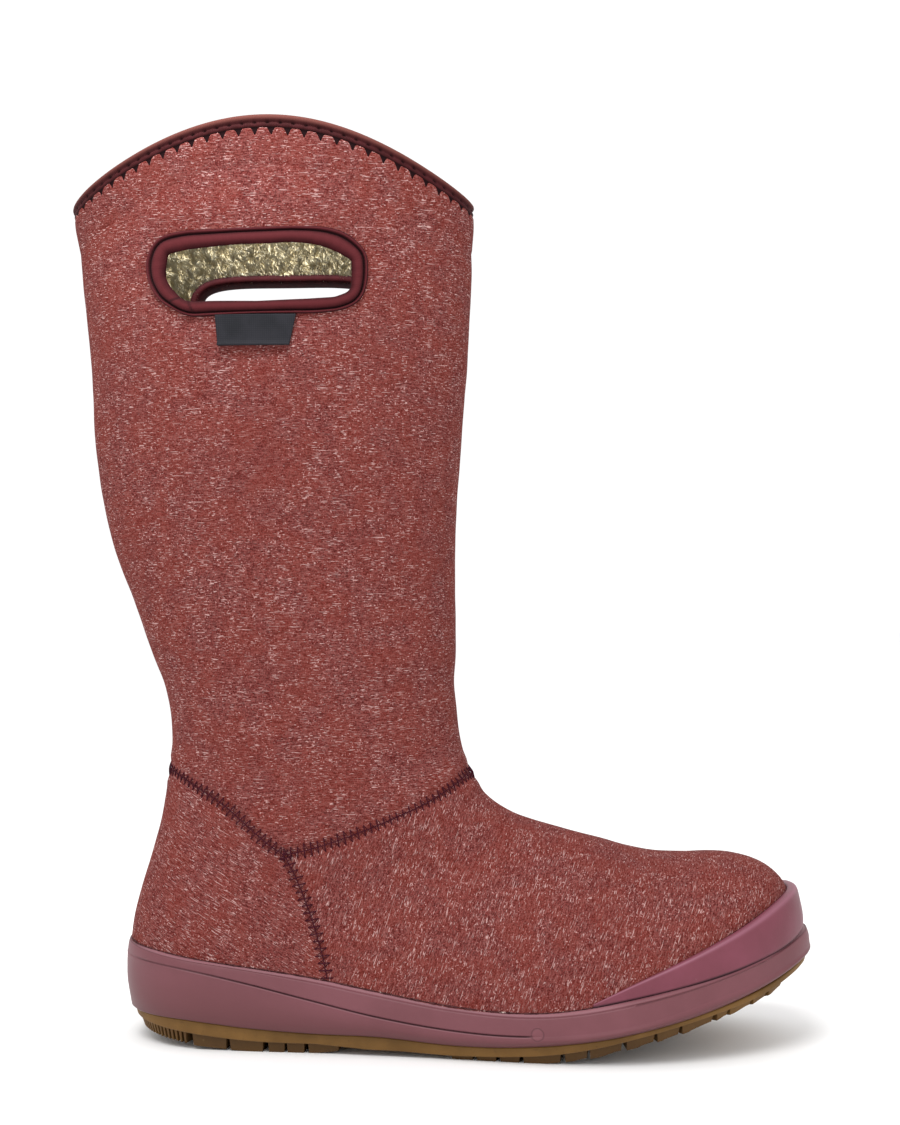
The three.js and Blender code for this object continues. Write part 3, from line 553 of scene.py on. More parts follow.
def gum_rubber():
    """Amber gum rubber, darker on the lugs than on the strip as painted shade."""
    s = Shader("gum_rubber")
    place = s.position()
    colour = s.mix(s.ramp(s.noise(place, 55, 4), 0.3, 0.7), linear(96, 68, 32), linear(116, 84, 42))
    # Painted shade on the lugs, which sit back under the strip
    colour = s.mix(s.math("MULTIPLY", s.value("lug_shade"), 0.75), colour, linear(66, 45, 23))
    scuff = s.ramp(s.noise(place, 420, 3, 0.7), 0.58, 0.74)
    colour = s.mix(s.math("MULTIPLY", scuff, 0.3), colour, linear(62, 43, 26))
    pale = s.ramp(s.noise(place, 300, 2), 0.68, 0.8)
    colour = s.mix(s.math("MULTIPLY", pale, 0.2), colour, linear(150, 126, 84))
    normal = s.bump(s.noise(place, 1100, 3), 0.00018, 0.4)
    return s.finish({"Base Color": colour, "Roughness": 0.6, "Normal": normal, "Specular IOR Level": 0.2})


def knit_tape(name, low, high, crest):
    """Fine ribbed binding cloth whose ribs cross its length, paler on its crest as painted highlight with some wear,
    and darkened at joints and with painted shade.
    """
    s = Shader(name)
    place = s.position()
    tone = s.mix(s.ramp(s.noise(place, 260, 3), 0.3, 0.7), low, high)
    # Paler on the crest: painted highlight, with some wear
    tone = s.mix(s.value("wear_and_highlight"), tone, crest)
    drift = s.math("MULTIPLY", s.noise(place, 500, 2), 2.5)
    turns = s.math("ADD", s.math("MULTIPLY", s.value("run"), 2 * math.pi / RIB_PITCH), drift)
    rib = s.math("ADD", s.math("MULTIPLY", s.math("SINE", turns), 0.5), 0.5)
    colour = s.mix(s.math("MULTIPLY", rib, 0.16), tone, crest)
    # Darker at joints and with painted shade: under the collar's teeth, in dimples, grooves and creases
    colour = s.mix(s.math("MULTIPLY", s.value("joint_and_shade"), 0.92), colour, linear(20, 4, 7))
    normal = s.bump(rib, 0.0001, 0.4)
    return s.finish({
        "Base Color": colour, "Roughness": 0.75, "Normal": normal, "Specular IOR Level": 0.1,
        "Sheen Weight": 0.01, "Sheen Roughness": 0.4,
    })


def fleece_pile():
    """Pile, darker at its roots as painted shade, with pale tips, in locks of a slightly different tone."""
    s = Shader("fleece_pile")
    place = s.position()
    tone = s.mix(s.ramp(s.noise(place, 420, 2), 0.35, 0.65), linear(250, 236, 196), linear(255, 247, 220))
    # Painted shade towards the roots
    root = s.ramp(s.value("tip"), 0.0, 0.75)
    colour = s.mix(root, linear(246, 234, 196), tone)
    return s.finish({"Base Color": colour, "Roughness": 1.0, "Specular IOR Level": 0.1})


def label_cloth():
    """Tight woven tape."""
    s = Shader("label_cloth")
    place = s.position()
    weave = s.add("TexWave", {"Vector": place, "Scale": 420, "Distortion": 0.8}, bands_direction="X")
    cross = s.add("TexWave", {"Vector": place, "Scale": 420, "Distortion": 0.8}, bands_direction="Z")
    both = s.math("MULTIPLY", weave.outputs["Fac"], cross.outputs["Fac"])
    tone = s.mix(s.ramp(s.noise(place, 120, 3), 0.3, 0.7), linear(26, 27, 31), linear(36, 36, 41))
    colour = s.mix(s.math("MULTIPLY", both, 0.35), tone, linear(62, 61, 65))
    normal = s.bump(both, 0.0001, 0.5)
    return s.finish({"Base Color": colour, "Roughness": 0.7, "Normal": normal, "Specular IOR Level": 0.12})


def thread():
    """Twisted sewing thread."""
    s = Shader("thread")
    place = s.position()
    colour = s.mix(s.noise(place, 900, 2), linear(46, 12, 24), linear(72, 26, 38))
    normal = s.bump(s.noise(place, 2600, 1), 0.0001, 0.5)
    return s.finish({"Base Color": colour, "Roughness": 0.8, "Normal": normal, "Specular IOR Level": 0.06})


def glue():
    """Dark bead of cement with a few pale crumbs."""
    s = Shader("glue")
    place = s.position()
    tone = s.mix(s.ramp(s.noise(place, 600, 3), 0.35, 0.65), linear(52, 24, 26), linear(82, 48, 48))
    crumbs = s.ramp(s.noise(place, 260, 3, 0.7), 0.64, 0.7)
    colour = s.mix(crumbs, tone, linear(196, 176, 168))
    normal = s.bump(s.noise(place, 900, 2), 0.0002, 0.5)
    return s.finish({"Base Color": colour, "Roughness": 0.8, "Normal": normal, "Specular IOR Level": 0.1})


FABRIC = heather_fabric()
MIDSOLE_RUBBER = midsole_rubber()
BUMPER_RUBBER = plum_rubber("bumper_rubber", linear(106, 50, 62), linear(117, 57, 72), 0.45)
GUM = gum_rubber()
# The third colour of each tape is the painted highlight on its crest, with some wear
COLLAR_TAPE = knit_tape("collar_tape", linear(46, 9, 14), linear(60, 18, 23), linear(98, 55, 49))
HOLE_TAPE = knit_tape("hole_tape", linear(44, 9, 13), linear(58, 15, 20), linear(88, 34, 38))
FLEECE = fleece_pile()
LABEL = label_cloth()
THREAD = thread()
GLUE = glue()


# Upper: a fine skin with seams, padded
RINGS, AROUND = 240, 300
last_points, last_normals = last_grid(RINGS, AROUND)
last_faces = grid_faces(RINGS, AROUND)
skin_tree = BVHTree.FromPolygons(last_points.reshape(-1, 3).tolist(), last_faces.tolist())


def on_side(x, z, side):
    """Point and outward normal of the last at x and z on one side, or None where it isn't there."""
    hit = skin_tree.ray_cast(Vector((x, side * 150, z)), Vector((0, -side, 0)))
    if hit[0] is None:
        return None
    normal = np.array(hit[1])
    return np.array(hit[0]), normal * np.sign(normal[1] * side)


def nearest(point):
    """Nearest point and outward normal of the last."""
    hit = skin_tree.find_nearest(Vector(point))
    place, normal = np.array(hit[0]), np.array(hit[1])
    inside = np.array([80.0 if place[2] > 90 else place[0], centre_line(place[0]), place[2]])
    if place[2] <= 90:
        inside[2] = 45.0
    return place, normal if normal @ (place - inside) > 0 else -normal


def seam_path(stations, side, joins_ahead):
    """A seam on one side, laid on the last. An end beyond the outline closes on the middle line."""
    line = smooth(along(stations), stations, np.linspace(0, along(stations)[-1], 160))
    hits = [on_side(x, z, side) for x, z in line]
    found = np.array([hit[0] for hit in hits if hit is not None])
    if joins_ahead is not None:
        x, z = joins_ahead
        middle = nearest((x, centre_line(x), z))[0]
        at_start = np.linalg.norm(found[0] - middle) < np.linalg.norm(found[-1] - middle)
        last_seen = found[0] if at_start else found[-1]
        bridge = np.array([nearest(last_seen + (middle - last_seen) * t)[0] for t in np.linspace(0.05, 1, 20)])
        found = np.vstack([bridge[::-1], found]) if at_start else np.vstack([found, bridge])
    return resample(found, max(int(along(found)[-1] / 0.8), 8))


def seen_at(pixels):
    """Where the photo's camera sees the last at pixels of the photo, as x and z."""
    turn = math.radians(CAMERA_TURN)
    ahead = np.array([-math.sin(turn), math.cos(turn), 0])
    right = np.array([math.cos(turn), math.sin(turn), 0])
    start = Vector(np.array(CAMERA_PLACE) * 1000 - SHIFT)
    found = []
    for across, down in pixels:
        ray = ahead + right * (across - PICTURE_CENTRE[0]) / FOCAL_PIXELS
        ray[2] += (PICTURE_CENTRE[1] - down) / FOCAL_PIXELS
        hit = skin_tree.ray_cast(start, Vector(ray).normalized())[0]
        found.append((hit.x, hit.z))
    return np.array(found)


seam_back, seam_front, seam_down = (seen_at(p) for p in (SEAM_BACK_PX, SEAM_FRONT_PX, SEAM_DOWN_PX))
seams = []
for side in (-1, 1):
    seams.append(seam_path(seam_back, side, SEAM_ENDS[0]))
    seams.append(seam_path(seam_front, side, SEAM_ENDS[1]))
    seams.append(seam_path(seam_down, side, None))


def distance_to_lines(points, lines):
    """Distance from each point to the nearest of the lines, which are points about 0.8 mm apart."""
    all_points = np.vstack(lines)
    made = np.full(len(points), 99.0)
    low, high = all_points.min(0) - 12, all_points.max(0) + 12
    close = np.where(np.all((points > low) & (points < high), axis=1))[0]
    for start in range(0, len(close), 2000):
        some = close[start:start + 2000]
        gap = points[some, None] - all_points[None]
        made[some] = np.sqrt((gap ** 2).sum(-1).min(1))
    return made


def panel_values(points):
    """Above 0 where a point is below the ankle seam, and where it is in front of the down seam."""
    x, z = points[:, 0], points[:, 2]
    top = np.interp(x, *np.vstack([seam_back, seam_front[1:]]).T)
    down = seam_down[::-1]
    return top - z, x - np.interp(z, down[:, 1], down[:, 0])


# Hand holes: the opening's outline as x and z, its outward way and how wide the binding is there
def hole_corners():
    """The inner opening, a rectangle with differently rounded corners."""
    powers = {(True, True): 3.4, (False, True): 3.8, (True, False): 5.0, (False, False): 2.5}
    points = []
    for k in range(900):
        angle = 2 * math.pi * (k + 0.5) / 900
        c, s = math.cos(angle), math.sin(angle)
        power = 2 / powers[(c >= 0, s >= 0)]
        x = math.copysign(abs(c) ** power, c) * HOLE["length"] / 2
        z = math.copysign(abs(s) ** power, s) * HOLE["height"] / 2
        points.append((HOLE["x"] + x, HOLE["z"] - INNER_HOLE_DROP + z))
    return np.array(points)[::-1]


def reach_to(start, way, outline):
    """Distance along a way from a point to a closed outline."""
    side = np.roll(outline, -1, 0) - outline
    cross = way[0] * side[:, 1] - way[1] * side[:, 0]
    cross = np.where(np.abs(cross) < 1e-9, 1e-9, cross)
    gap = outline - start
    far = (gap[:, 0] * side[:, 1] - gap[:, 1] * side[:, 0]) / cross
    share = (gap[:, 0] * way[1] - gap[:, 1] * way[0]) / cross
    return far[(far > 0) & (share >= 0) & (share <= 1)].min()


def soften(rows, times):
    for _ in range(times):
        rows = (np.roll(rows, 1, 0) + 2 * rows + np.roll(rows, -1, 0)) / 4
    return rows


def hole_frame(side):
    """Columns round a hole, the last on the first: edge, outward way, binding width, distance run."""
    count = 320
    if side < 0:
        opening, piping = seen_at(HOLE_OPENING_PX), seen_at(HOLE_PIPING_PX)
        first = int(np.argmin(np.linalg.norm(opening - seen_at((HOLE_SEAM_PX,)), axis=1)))
        opening = np.roll(opening, -first, 0)
    else:
        opening, piping = hole_corners(), None
    closed = np.vstack([opening, opening[:1]])
    edge = soften(resample(closed, count + 1)[:-1], 5)
    way = unit(np.roll(edge, -1, 0) - np.roll(edge, 1, 0))
    outward = np.stack([-way[:, 1], way[:, 0]], 1)
    outward = unit(soften(outward, 10))
    if piping is None:
        width = np.full(count, HOLE_TAPE_WIDTH)
    else:
        outer = resample(np.vstack([piping, piping[:1]]), count + 1)[:-1]
        outer = soften(outer, 6)
        width = soften(np.array([reach_to(e, w, outer) for e, w in zip(edge, outward)]), 12)
    edge, outward = np.vstack([edge, edge[:1]]), np.vstack([outward, outward[:1]])
    return edge, outward, np.append(width, width[0]), along(edge)


def outline_distance(points, outline):
    """Distance in x and z from points to a closed outline, below 0 inside it."""
    x, z = points[:, 0], points[:, 2]
    made = np.full(len(points), 99.0)
    inside = np.zeros(len(points), bool)
    for (ax, az), (bx, bz) in zip(outline, np.roll(outline, -1, 0)):
        ex, ez = bx - ax, bz - az
        share = np.clip(((x - ax) * ex + (z - az) * ez) / (ex * ex + ez * ez), 0, 1)
        made = np.minimum(made, np.hypot(x - ax - share * ex, z - az - share * ez))
        if ez:
            inside ^= ((az > z) != (bz > z)) & (x < ax + (z - az) * ex / ez)
    return np.where(inside, -made, made)


hole_edges = {side: hole_frame(side)[0][:-1:4] for side in (-1, 1)}


def hole_distance(points):
    """Distance in x and z from points to the hand hole on their side, below 0 inside it."""
    made = np.full(len(points), 99.0)
    for side in (-1, 1):
        close = np.where((points[:, 1] * side > 0) & (points[:, 2] > HOLE["z"] - 40))[0]
        made[close] = outline_distance(points[close], hole_edges[side])
    return made


def cut_faces(points, faces, grow, floor_drop):
    """Faces left after the hand holes and the part under the floor are taken away."""
    centre = points[faces].mean(1)
    gap = hole_distance(centre)
    keep = (gap > grow) & (centre[:, 2] > level(centre[:, 0], "floor") - floor_drop)
    return faces[keep]


def pack_mesh(points, faces, values=None):
    """Points that the faces use, renumbered, with their values."""
    used = np.unique(faces)
    number = np.full(len(points), -1)
    number[used] = np.arange(len(used))
    kept = {k: np.asarray(v)[used] for k, v in (values or {}).items()}
    return points[used], number[faces], kept


def make_upper():
    points = last_points.reshape(-1, 3)
    normals = last_normals.reshape(-1, 3)
    seam = distance_to_lines(points, seams)
    pad = 0.35 * waves(points, 46, 3) + 0.1 * waves(points, 17, 4)
    pad += -0.6 * np.exp(-(seam / 2.2) ** 2) + 0.4 * np.exp(-((seam - 5.6) / 2.4) ** 2)
    x, y, z = points.T
    hollow = np.exp(-((z - 128 - 0.14 * x) / 7) ** 2) * step(x, 92, 132)
    hollow += 0.6 * np.exp(-((z - 146 + 0.1 * x) / 9) ** 2) * (1 - step(x, 20, 52))
    pad -= 0.7 * hollow
    pad -= 0.5 * np.exp(-((hole_distance(points) - 9) / 3) ** 2)
    calm = step(z, 30, 45) * (1 - 0.8 * step(z, 330, 345))
    moved = points + normals * (pad * calm)[:, None]
    below, before = panel_values(points)
    values = {"seam": seam, "below_seam": below, "before_seam": before}
    faces = cut_faces(points, last_faces, HOLE_EDGE_COVER, 1.0)
    moved, faces, values = pack_mesh(moved, faces, values)
    make_piece("boot_upper", moved, faces, FABRIC, ["upper"], values)


def make_lining():
    """The fleece side of the wall, under its pile."""
    grid, normals = last_grid(200, 260)
    points = grid.reshape(-1, 3)
    inside = points - normals.reshape(-1, 3) * (WALL - 0.4)
    inside += normals.reshape(-1, 3) * (0.35 * waves(points, 7, 8) + 0.2 * waves(points, 4, 9))[:, None]
    faces = cut_faces(points, grid_faces(200, 260)[:, ::-1], HOLE_EDGE_COVER, 0.0)
    moved, faces, values = pack_mesh(inside, faces, {"tip": np.full(len(points), 0.4)})
    make_piece("fleece_backing", moved, faces, FLEECE, (), values)


def pile(name, count, low, high, seed):
    """Thin straight hairs on the inside of the shaft between two heights, leaning in locks."""
    source = np.random.default_rng(seed)
    rows = np.where((last_points[:, 0, 2] > low) & (last_points[:, 0, 2] < high))[0]
    ring = source.uniform(rows[0], rows[-1] + 0.999, count)
    turn = source.uniform(0, AROUND, count)
    i, j = ring.astype(int), turn.astype(int) % AROUND
    share_i, share_j = (ring - i)[:, None], (turn - turn.astype(int))[:, None]
    after = np.minimum(i + 1, RINGS - 1)
    foot = last_points[i, j] * (1 - share_i) + last_points[after, j] * share_i
    foot = foot + (last_points[i, (j + 1) % AROUND] - last_points[i, j]) * share_j
    normal = last_normals[i, j]
    clear = hole_distance(foot) > 5.2
    foot, normal = foot[clear], normal[clear]
    count = len(foot)
    root = foot - normal * (WALL - 0.5)
    lean = np.stack([waves(foot, 6, 31), waves(foot, 6, 32), waves(foot, 6, 33)], 1)
    fall = np.array([0.25, 0.0, -0.8]) + 0.42 * lean + source.normal(0, 0.2, (count, 3))
    fall -= normal * (fall * normal).sum(1, keepdims=True)
    way = unit(-normal * 0.5 + fall)
    length = (source.uniform(2.0, 3.6, count) * (1 + 0.25 * waves(foot, 4, 34)))[:, None]
    across = unit(np.cross(way, source.normal(size=(count, 3))))
    other = np.cross(way, across)
    thick = source.uniform(0.22, 0.38, count)[:, None]
    points = []
    for k in range(3):
        a = 2 * math.pi * k / 3
        points.append(root + (across * math.cos(a) + other * math.sin(a)) * thick)
    points.append(root + way * length + unit(fall) * length * 0.25)
    stacked = np.stack(points, 1).reshape(-1, 3)
    tip = np.tile([0.15, 0.15, 0.15, 1.0], count)
    start = np.arange(count)[:, None] * 4
    faces = np.stack([start + [0, 1, 3], start + [1, 2, 3], start + [2, 0, 3]], 1).reshape(-1, 3)
    make_piece(name, stacked, faces, FLEECE, (), {"tip": tip})


# Stitches
def make_stitches():
    """Slanted rungs of thread over each seam, thinner threads back between them, and the seam's line."""
    parts = []
    for path in seams:
        count = max(int(along(path)[-1] / STITCH_PITCH), 4)
        line = resample(path, count)
        way = unit(np.gradient(line, axis=0))
        ends = []
        for k, point in enumerate(line):
            across = unit(np.cross(nearest(point)[1], way[k]))
            size = 1 + 0.12 * math.sin(k * 2.4) + 0.08 * math.sin(k * 5.1)
            slant = way[k] * STITCH_PITCH * 0.14
            ends.append(nearest(point - across * STITCH_WIDTH * 0.5 * size - slant)[0])
            ends.append(nearest(point + across * STITCH_WIDTH * 0.5 * size + slant)[0])
        for n in range(len(ends) - 1):
            rung = n % 2 == 0
            laid = []
            for t in np.linspace(0, 1, 6):
                place, normal = nearest(ends[n] + (ends[n + 1] - ends[n]) * t)
                laid.append(place + normal * ((0.5 if rung else 0.1) * math.sin(math.pi * t) - 0.12))
            parts.append(tube(np.array(laid), 0.25 if rung else 0.11, 5))
        middle = []
        for point in resample(path, max(int(along(path)[-1] / 1.2), 4)):
            place, normal = nearest(point)
            middle.append(place + normal * 0.12)
        parts.append(tube(np.array(middle), 0.2, 5))
    points, faces = join_parts(parts)
    make_piece("seam_stitches", points, faces, THREAD, ())


# Collar: a rolled tape behind a pinked fabric edge
def at_depth(rows, depth, wanted):
    """Values of the columns of rows at wanted depths below the collar edge."""
    made = np.empty((len(wanted), 3))
    for column in range(len(wanted)):
        for k in range(3):
            made[column, k] = np.interp(wanted[column], depth[:, column], rows[:, column, k])
    return made


def collar_frame(columns):
    """Evenly spaced columns down the skin from the collar edge: points, normals and distance run."""
    deep = 12
    grid = np.concatenate([last_points[:deep], last_points[:deep, :1]], 1)
    normals = np.concatenate([last_normals[:deep], last_normals[:deep, :1]], 1)
    run = along(grid[0])
    at = np.linspace(0, run[-1], columns + 1)
    spread = []
    for source in (grid, normals):
        rows = [np.stack([np.interp(at, run, row[:, k]) for k in range(3)], 1) for row in source]
        spread.append(np.array(rows))
    lines, out = spread[0], unit(spread[1])
    depth = np.concatenate([np.zeros((1, columns + 1)), np.cumsum(np.linalg.norm(np.diff(lines, axis=0), axis=2), 0)])
    return lines, out, depth, at


def make_collar_tape():
    columns = 1100
    lines, out, depth, at = collar_frame(columns)
    dimples = round(at[-1] / DIMPLE_PITCH)
    apart = (at / at[-1] * dimples) % 1 - 0.5
    dimple = np.exp(-(apart / 0.13) ** 2)
    profile = [
        (0.25, -7.6, 0), (0.5, -7.2, 0), (0.55, -5, 0), (0.55, -4, 1), (0.75, -3.6, 0.5), (1.05, -3.2, 0),
        (1.2, -2.7, 0.1), (1.1, -2.2, 0), (0.85, -1.9, 0.35), (0.8, -1.55, 0.35), (1.1, -1.15, 0),
        (1.45, -0.6, 0.25), (1.58, 0, 0.7), (1.45, 0.65, 1), (1.05, 1.2, 1), (0.3, 1.6, 1), (-0.6, 1.72, 0.9),
        (-1.6, 1.72, 0.9), (-2.6, 1.65, 0.8), (-3.6, 1.3, 0.6), (-4.2, 0.6, 0.3), (-4.4, -0.6, 0), (-4.4, -3.2, 0),
        (-4.2, -5.2, 0), (-3.2, -5.4, 0), (-3.0, -4.4, 0), (-3.0, 0.2, 0), (0.1, 0.2, 0), (0.1, -7.4, 0),
        (0.25, -7.6, 0),
    ]
    rows, wear_and_highlight, dark = [], [], []
    for across, up, mark in profile:
        near = math.exp(-((up + 1.75) / 0.55) ** 2) if across > 0.6 else 0.0
        reach = across - 0.6 * near * dimple
        point = at_depth(lines, depth, np.full(columns + 1, max(-up, 0.0)))
        normal = at_depth(out, depth, np.full(columns + 1, max(-up, 0.0)))
        point = point + unit(normal) * np.reshape(reach, (-1, 1))
        rows.append(point + np.array([0, 0, max(up, 0.0)]))
        # The tape under the pinked edge's teeth takes painted shadow, and the dimples painted shade
        joint_and_shade = 1.0 if -7.5 < up < -3.3 and across > 0.3 else 0.0
        # Paler on the roll's top: painted highlight, with some wear
        wear_and_highlight.append(np.full(columns + 1, mark if up > -1.2 else 0.15 * mark))
        dark.append(np.maximum(joint_and_shade, 0.95 * near * dimple))
    points = np.array(rows).reshape(-1, 3)
    faces = grid_faces(len(profile), columns + 1, closed=False)
    values = {"wear_and_highlight": np.array(wear_and_highlight).ravel(), "joint_and_shade": np.array(dark).ravel(), "run": np.tile(at, len(profile))}
    make_piece("collar_tape", points, faces, COLLAR_TAPE, ["collar_binding"], values)


def make_pinked_edge():
    """The upper's cut edge, scalloped, lying over the tape and fading into the skin below."""
    columns = 1620
    lines, out, depth, at = collar_frame(columns)
    teeth = round(at[-1] / TOOTH_PITCH)
    apart = np.abs((at / at[-1] * teeth) % 1 - 0.5) * 2
    top = 3.8 + 0.25 * apart ** 2 + TOOTH_HEIGHT * np.clip((apart - 0.46) / 0.46, 0, 1) ** 1.5
    rows = []
    for share, across in ((0, 0.55), (0, 1.05), (0.03, 1.22), (0.1, 1.22), (0.25, 1.1), (0.45, 0.8),
                          (0.7, 0.42), (0.9, 0.12), (1, -0.25)):
        down = top + (19 - top) * share
        points = at_depth(lines, depth, down)
        rows.append(points + unit(at_depth(out, depth, down)) * across)
    points = np.array(rows).reshape(-1, 3)
    below, before = panel_values(points)
    values = {"seam": np.full(len(points), 99.0), "below_seam": below, "before_seam": before}
    faces = grid_faces(len(rows), columns + 1, closed=False)
    make_piece("pinked_edge", points, faces, FABRIC, (), values)


# Hand hole bindings
def make_hole_binding(name, node, side):
    """A fat roll round a hand hole, a groove darkened with painted shade and a thin piping outside it, their crests
    paler with a painted highlight.
    """
    edge, outward, width, run = hole_frame(side)
    # Rows: share across, offset from the skin, painted highlight on the crests with some wear, and darkening: a dark
    # joint behind, painted shade in the groove, on the inner faces and at the piping's outer edge
    profile = [
        (0.8, -3.2, 0, 0.6), (0.7, -4.5, 0, 0.3), (0.5, -5.2, 0.2, 0), (0.32, -4.7, 0.1, 0), (0.2, -3.4, 0, 0),
        (0.11, -2.0, 0, 0.05), (0.04, -0.7, 0, 0.1), (0.0, 0.3, 0, 0.1), (0.04, 1.1, 0, 0.05),
        (0.15, 1.85, 0.3, 0), (0.3, 2.25, 0.75, 0), (0.46, 2.25, 0.8, 0), (0.59, 1.75, 0.45, 0),
        (0.68, 1.0, 0.1, 0.35), (0.725, 0.35, 0, 1), (0.765, 0.3, 0, 1), (0.795, 0.75, 0.1, 0.3), (0.84, 1.2, 0.6, 0),
        (0.89, 1.3, 0.8, 0), (0.94, 1.05, 0.3, 0.1), (0.975, 0.4, 0, 0.9), (1.0, -0.6, 0, 1), (0.92, -1.2, 0, 1),
    ]
    profile.append(profile[0])
    count = len(edge)
    centre = edge.mean(0)
    points, wear_and_highlight, dark = [], [], []
    for share, offset, crest, joint_and_shade in profile:
        for k in range(count):
            x, z = edge[k] + outward[k] * share * width[k]
            place, normal = on_side(x, z, side)
            puff = 0.07 * math.sin(run[k] * 1.9 + 3 * share) if offset > 1.3 else 0.0
            near = min(run[k], run[-1] - run[k]) - 3.5 * share
            overlap = 0.4 * math.exp(-(near / 1.6) ** 2) if offset > 0.5 and share < 0.72 else 0.0
            way = normal if offset > 0 else np.array([0.0, side, 0.0])
            points.append(place + way * (offset + puff + overlap))
            # crest: painted highlight, with some wear
            wear_and_highlight.append(crest)
            # Painted shade in the crease where the binding's ends overlap
            crease = 0.85 * math.exp(-((near - 1.9) / 0.5) ** 2) if overlap > 0.01 else 0.0
            dark.append(max(joint_and_shade, crease))
    faces = grid_faces(len(profile), count, closed=False)
    if outward[0] @ (edge[0] - centre) * side > 0:
        faces = faces[:, ::-1]
    values = {"wear_and_highlight": wear_and_highlight, "joint_and_shade": dark, "run": np.tile(run, len(profile))}
    make_piece(name, np.array(points), faces, HOLE_TAPE, [node], values)


def make_label():
    """A bare folded tab, its fold at the bottom."""
    left, width, height, taper = HOLE["x"] - 16.2, 32.4, 12.4, 1.3
    top = HOLE["z"] - HOLE["height"] / 2 - HOLE_TAPE_WIDTH + 0.6
    columns, rows = 36, 20
    loops = []
    for u in np.linspace(0, 1, columns):
        loop = []
        for k in range(rows * 2):
            front = k < rows
            v = k / (rows - 1) if front else (rows * 2 - 1 - k) / (rows - 1)
            x = left + u * width + taper * v * (1 - 3 * u)
            z = top - height * v
            fold = 0.9 * math.exp(-((v - 1) / 0.09) ** 2)
            place, normal = on_side(x, z, -1)
            offset = (1.25 + fold + 0.15 * math.sin(u * 5)) if front else 0.35
            loop.append(place + normal * (offset + 0.5 * v))
        loops.append(loop)
    points = np.array(loops).reshape(-1, 3)
    faces = grid_faces(columns, rows * 2).tolist()
    faces.append(list(range(rows * 2)))
    faces.append([(columns - 1) * rows * 2 + k for k in range(rows * 2)][::-1])
    make_piece("label_tab_cloth", points, faces, LABEL, ["label_tab"])


# Sole
def half_width(x, side):
    column, length, power = (1, 92.0, 2.1) if side < 0 else (2, 66.0, 2.2)
    base = smooth(SOLE_PLAN[:, 0], SOLE_PLAN[:, column], x)
    heel = np.clip((40 - x) / 40, 0, 1)
    toe = np.clip((x - SOLE_LENGTH + length) / length, 0, 1)
    return base * (1 - heel ** 2.2) ** (1 / 2.2) * (1 - toe ** power) ** (1 / power)


STEPS = 130
turn = math.pi * np.arange(2 * STEPS) / STEPS
plan_x = SOLE_LENGTH * (1 - np.cos(turn)) / 2
plan_side = np.where(np.arange(2 * STEPS) <= STEPS, -1, 1)
plan_y = centre_line(plan_x) + np.where(
    plan_side < 0, -half_width(plan_x, -1), half_width(plan_x, 1))
plan = np.stack([plan_x, plan_y], 1)
plan_way = unit(np.roll(plan, -1, 0) - np.roll(plan, 1, 0))
inward = np.stack([-plan_way[:, 1], plan_way[:, 0]], 1)
PLAN_COUNT = len(plan)


def layer(inset, height):
    at = plan + inward * np.broadcast_to(inset, (PLAN_COUNT,))[:, None]
    return np.column_stack([at, np.broadcast_to(height, (PLAN_COUNT,))])


def cap(start, flip):
    """Quads that close a layer across the foot."""
    faces = []
    for k in range(STEPS):
        a, b = start + k, start + k + 1
        c, d = start + (PLAN_COUNT - k - 1) % PLAN_COUNT, start + (PLAN_COUNT - k) % PLAN_COUNT
        face = [v for n, v in enumerate((a, b, c, d)) if v not in (a, b, c, d)[:n]]
        if len(face) > 2:
            faces.append(face[::-1] if flip else face)
    return faces


def wall_gap(height):
    """How far inside the sole's outline the last's surface lies at a height."""
    made = np.zeros(PLAN_COUNT)
    for k in range(PLAN_COUNT):
        start = plan[k] - inward[k] * 6
        hit = skin_tree.ray_cast(Vector((*start, height[k])), Vector((*inward[k], 0)))
        made[k] = hit[3] - 6 if hit[0] is not None and hit[3] < 60 else (made[k - 1] if k else 5.0)
    return made


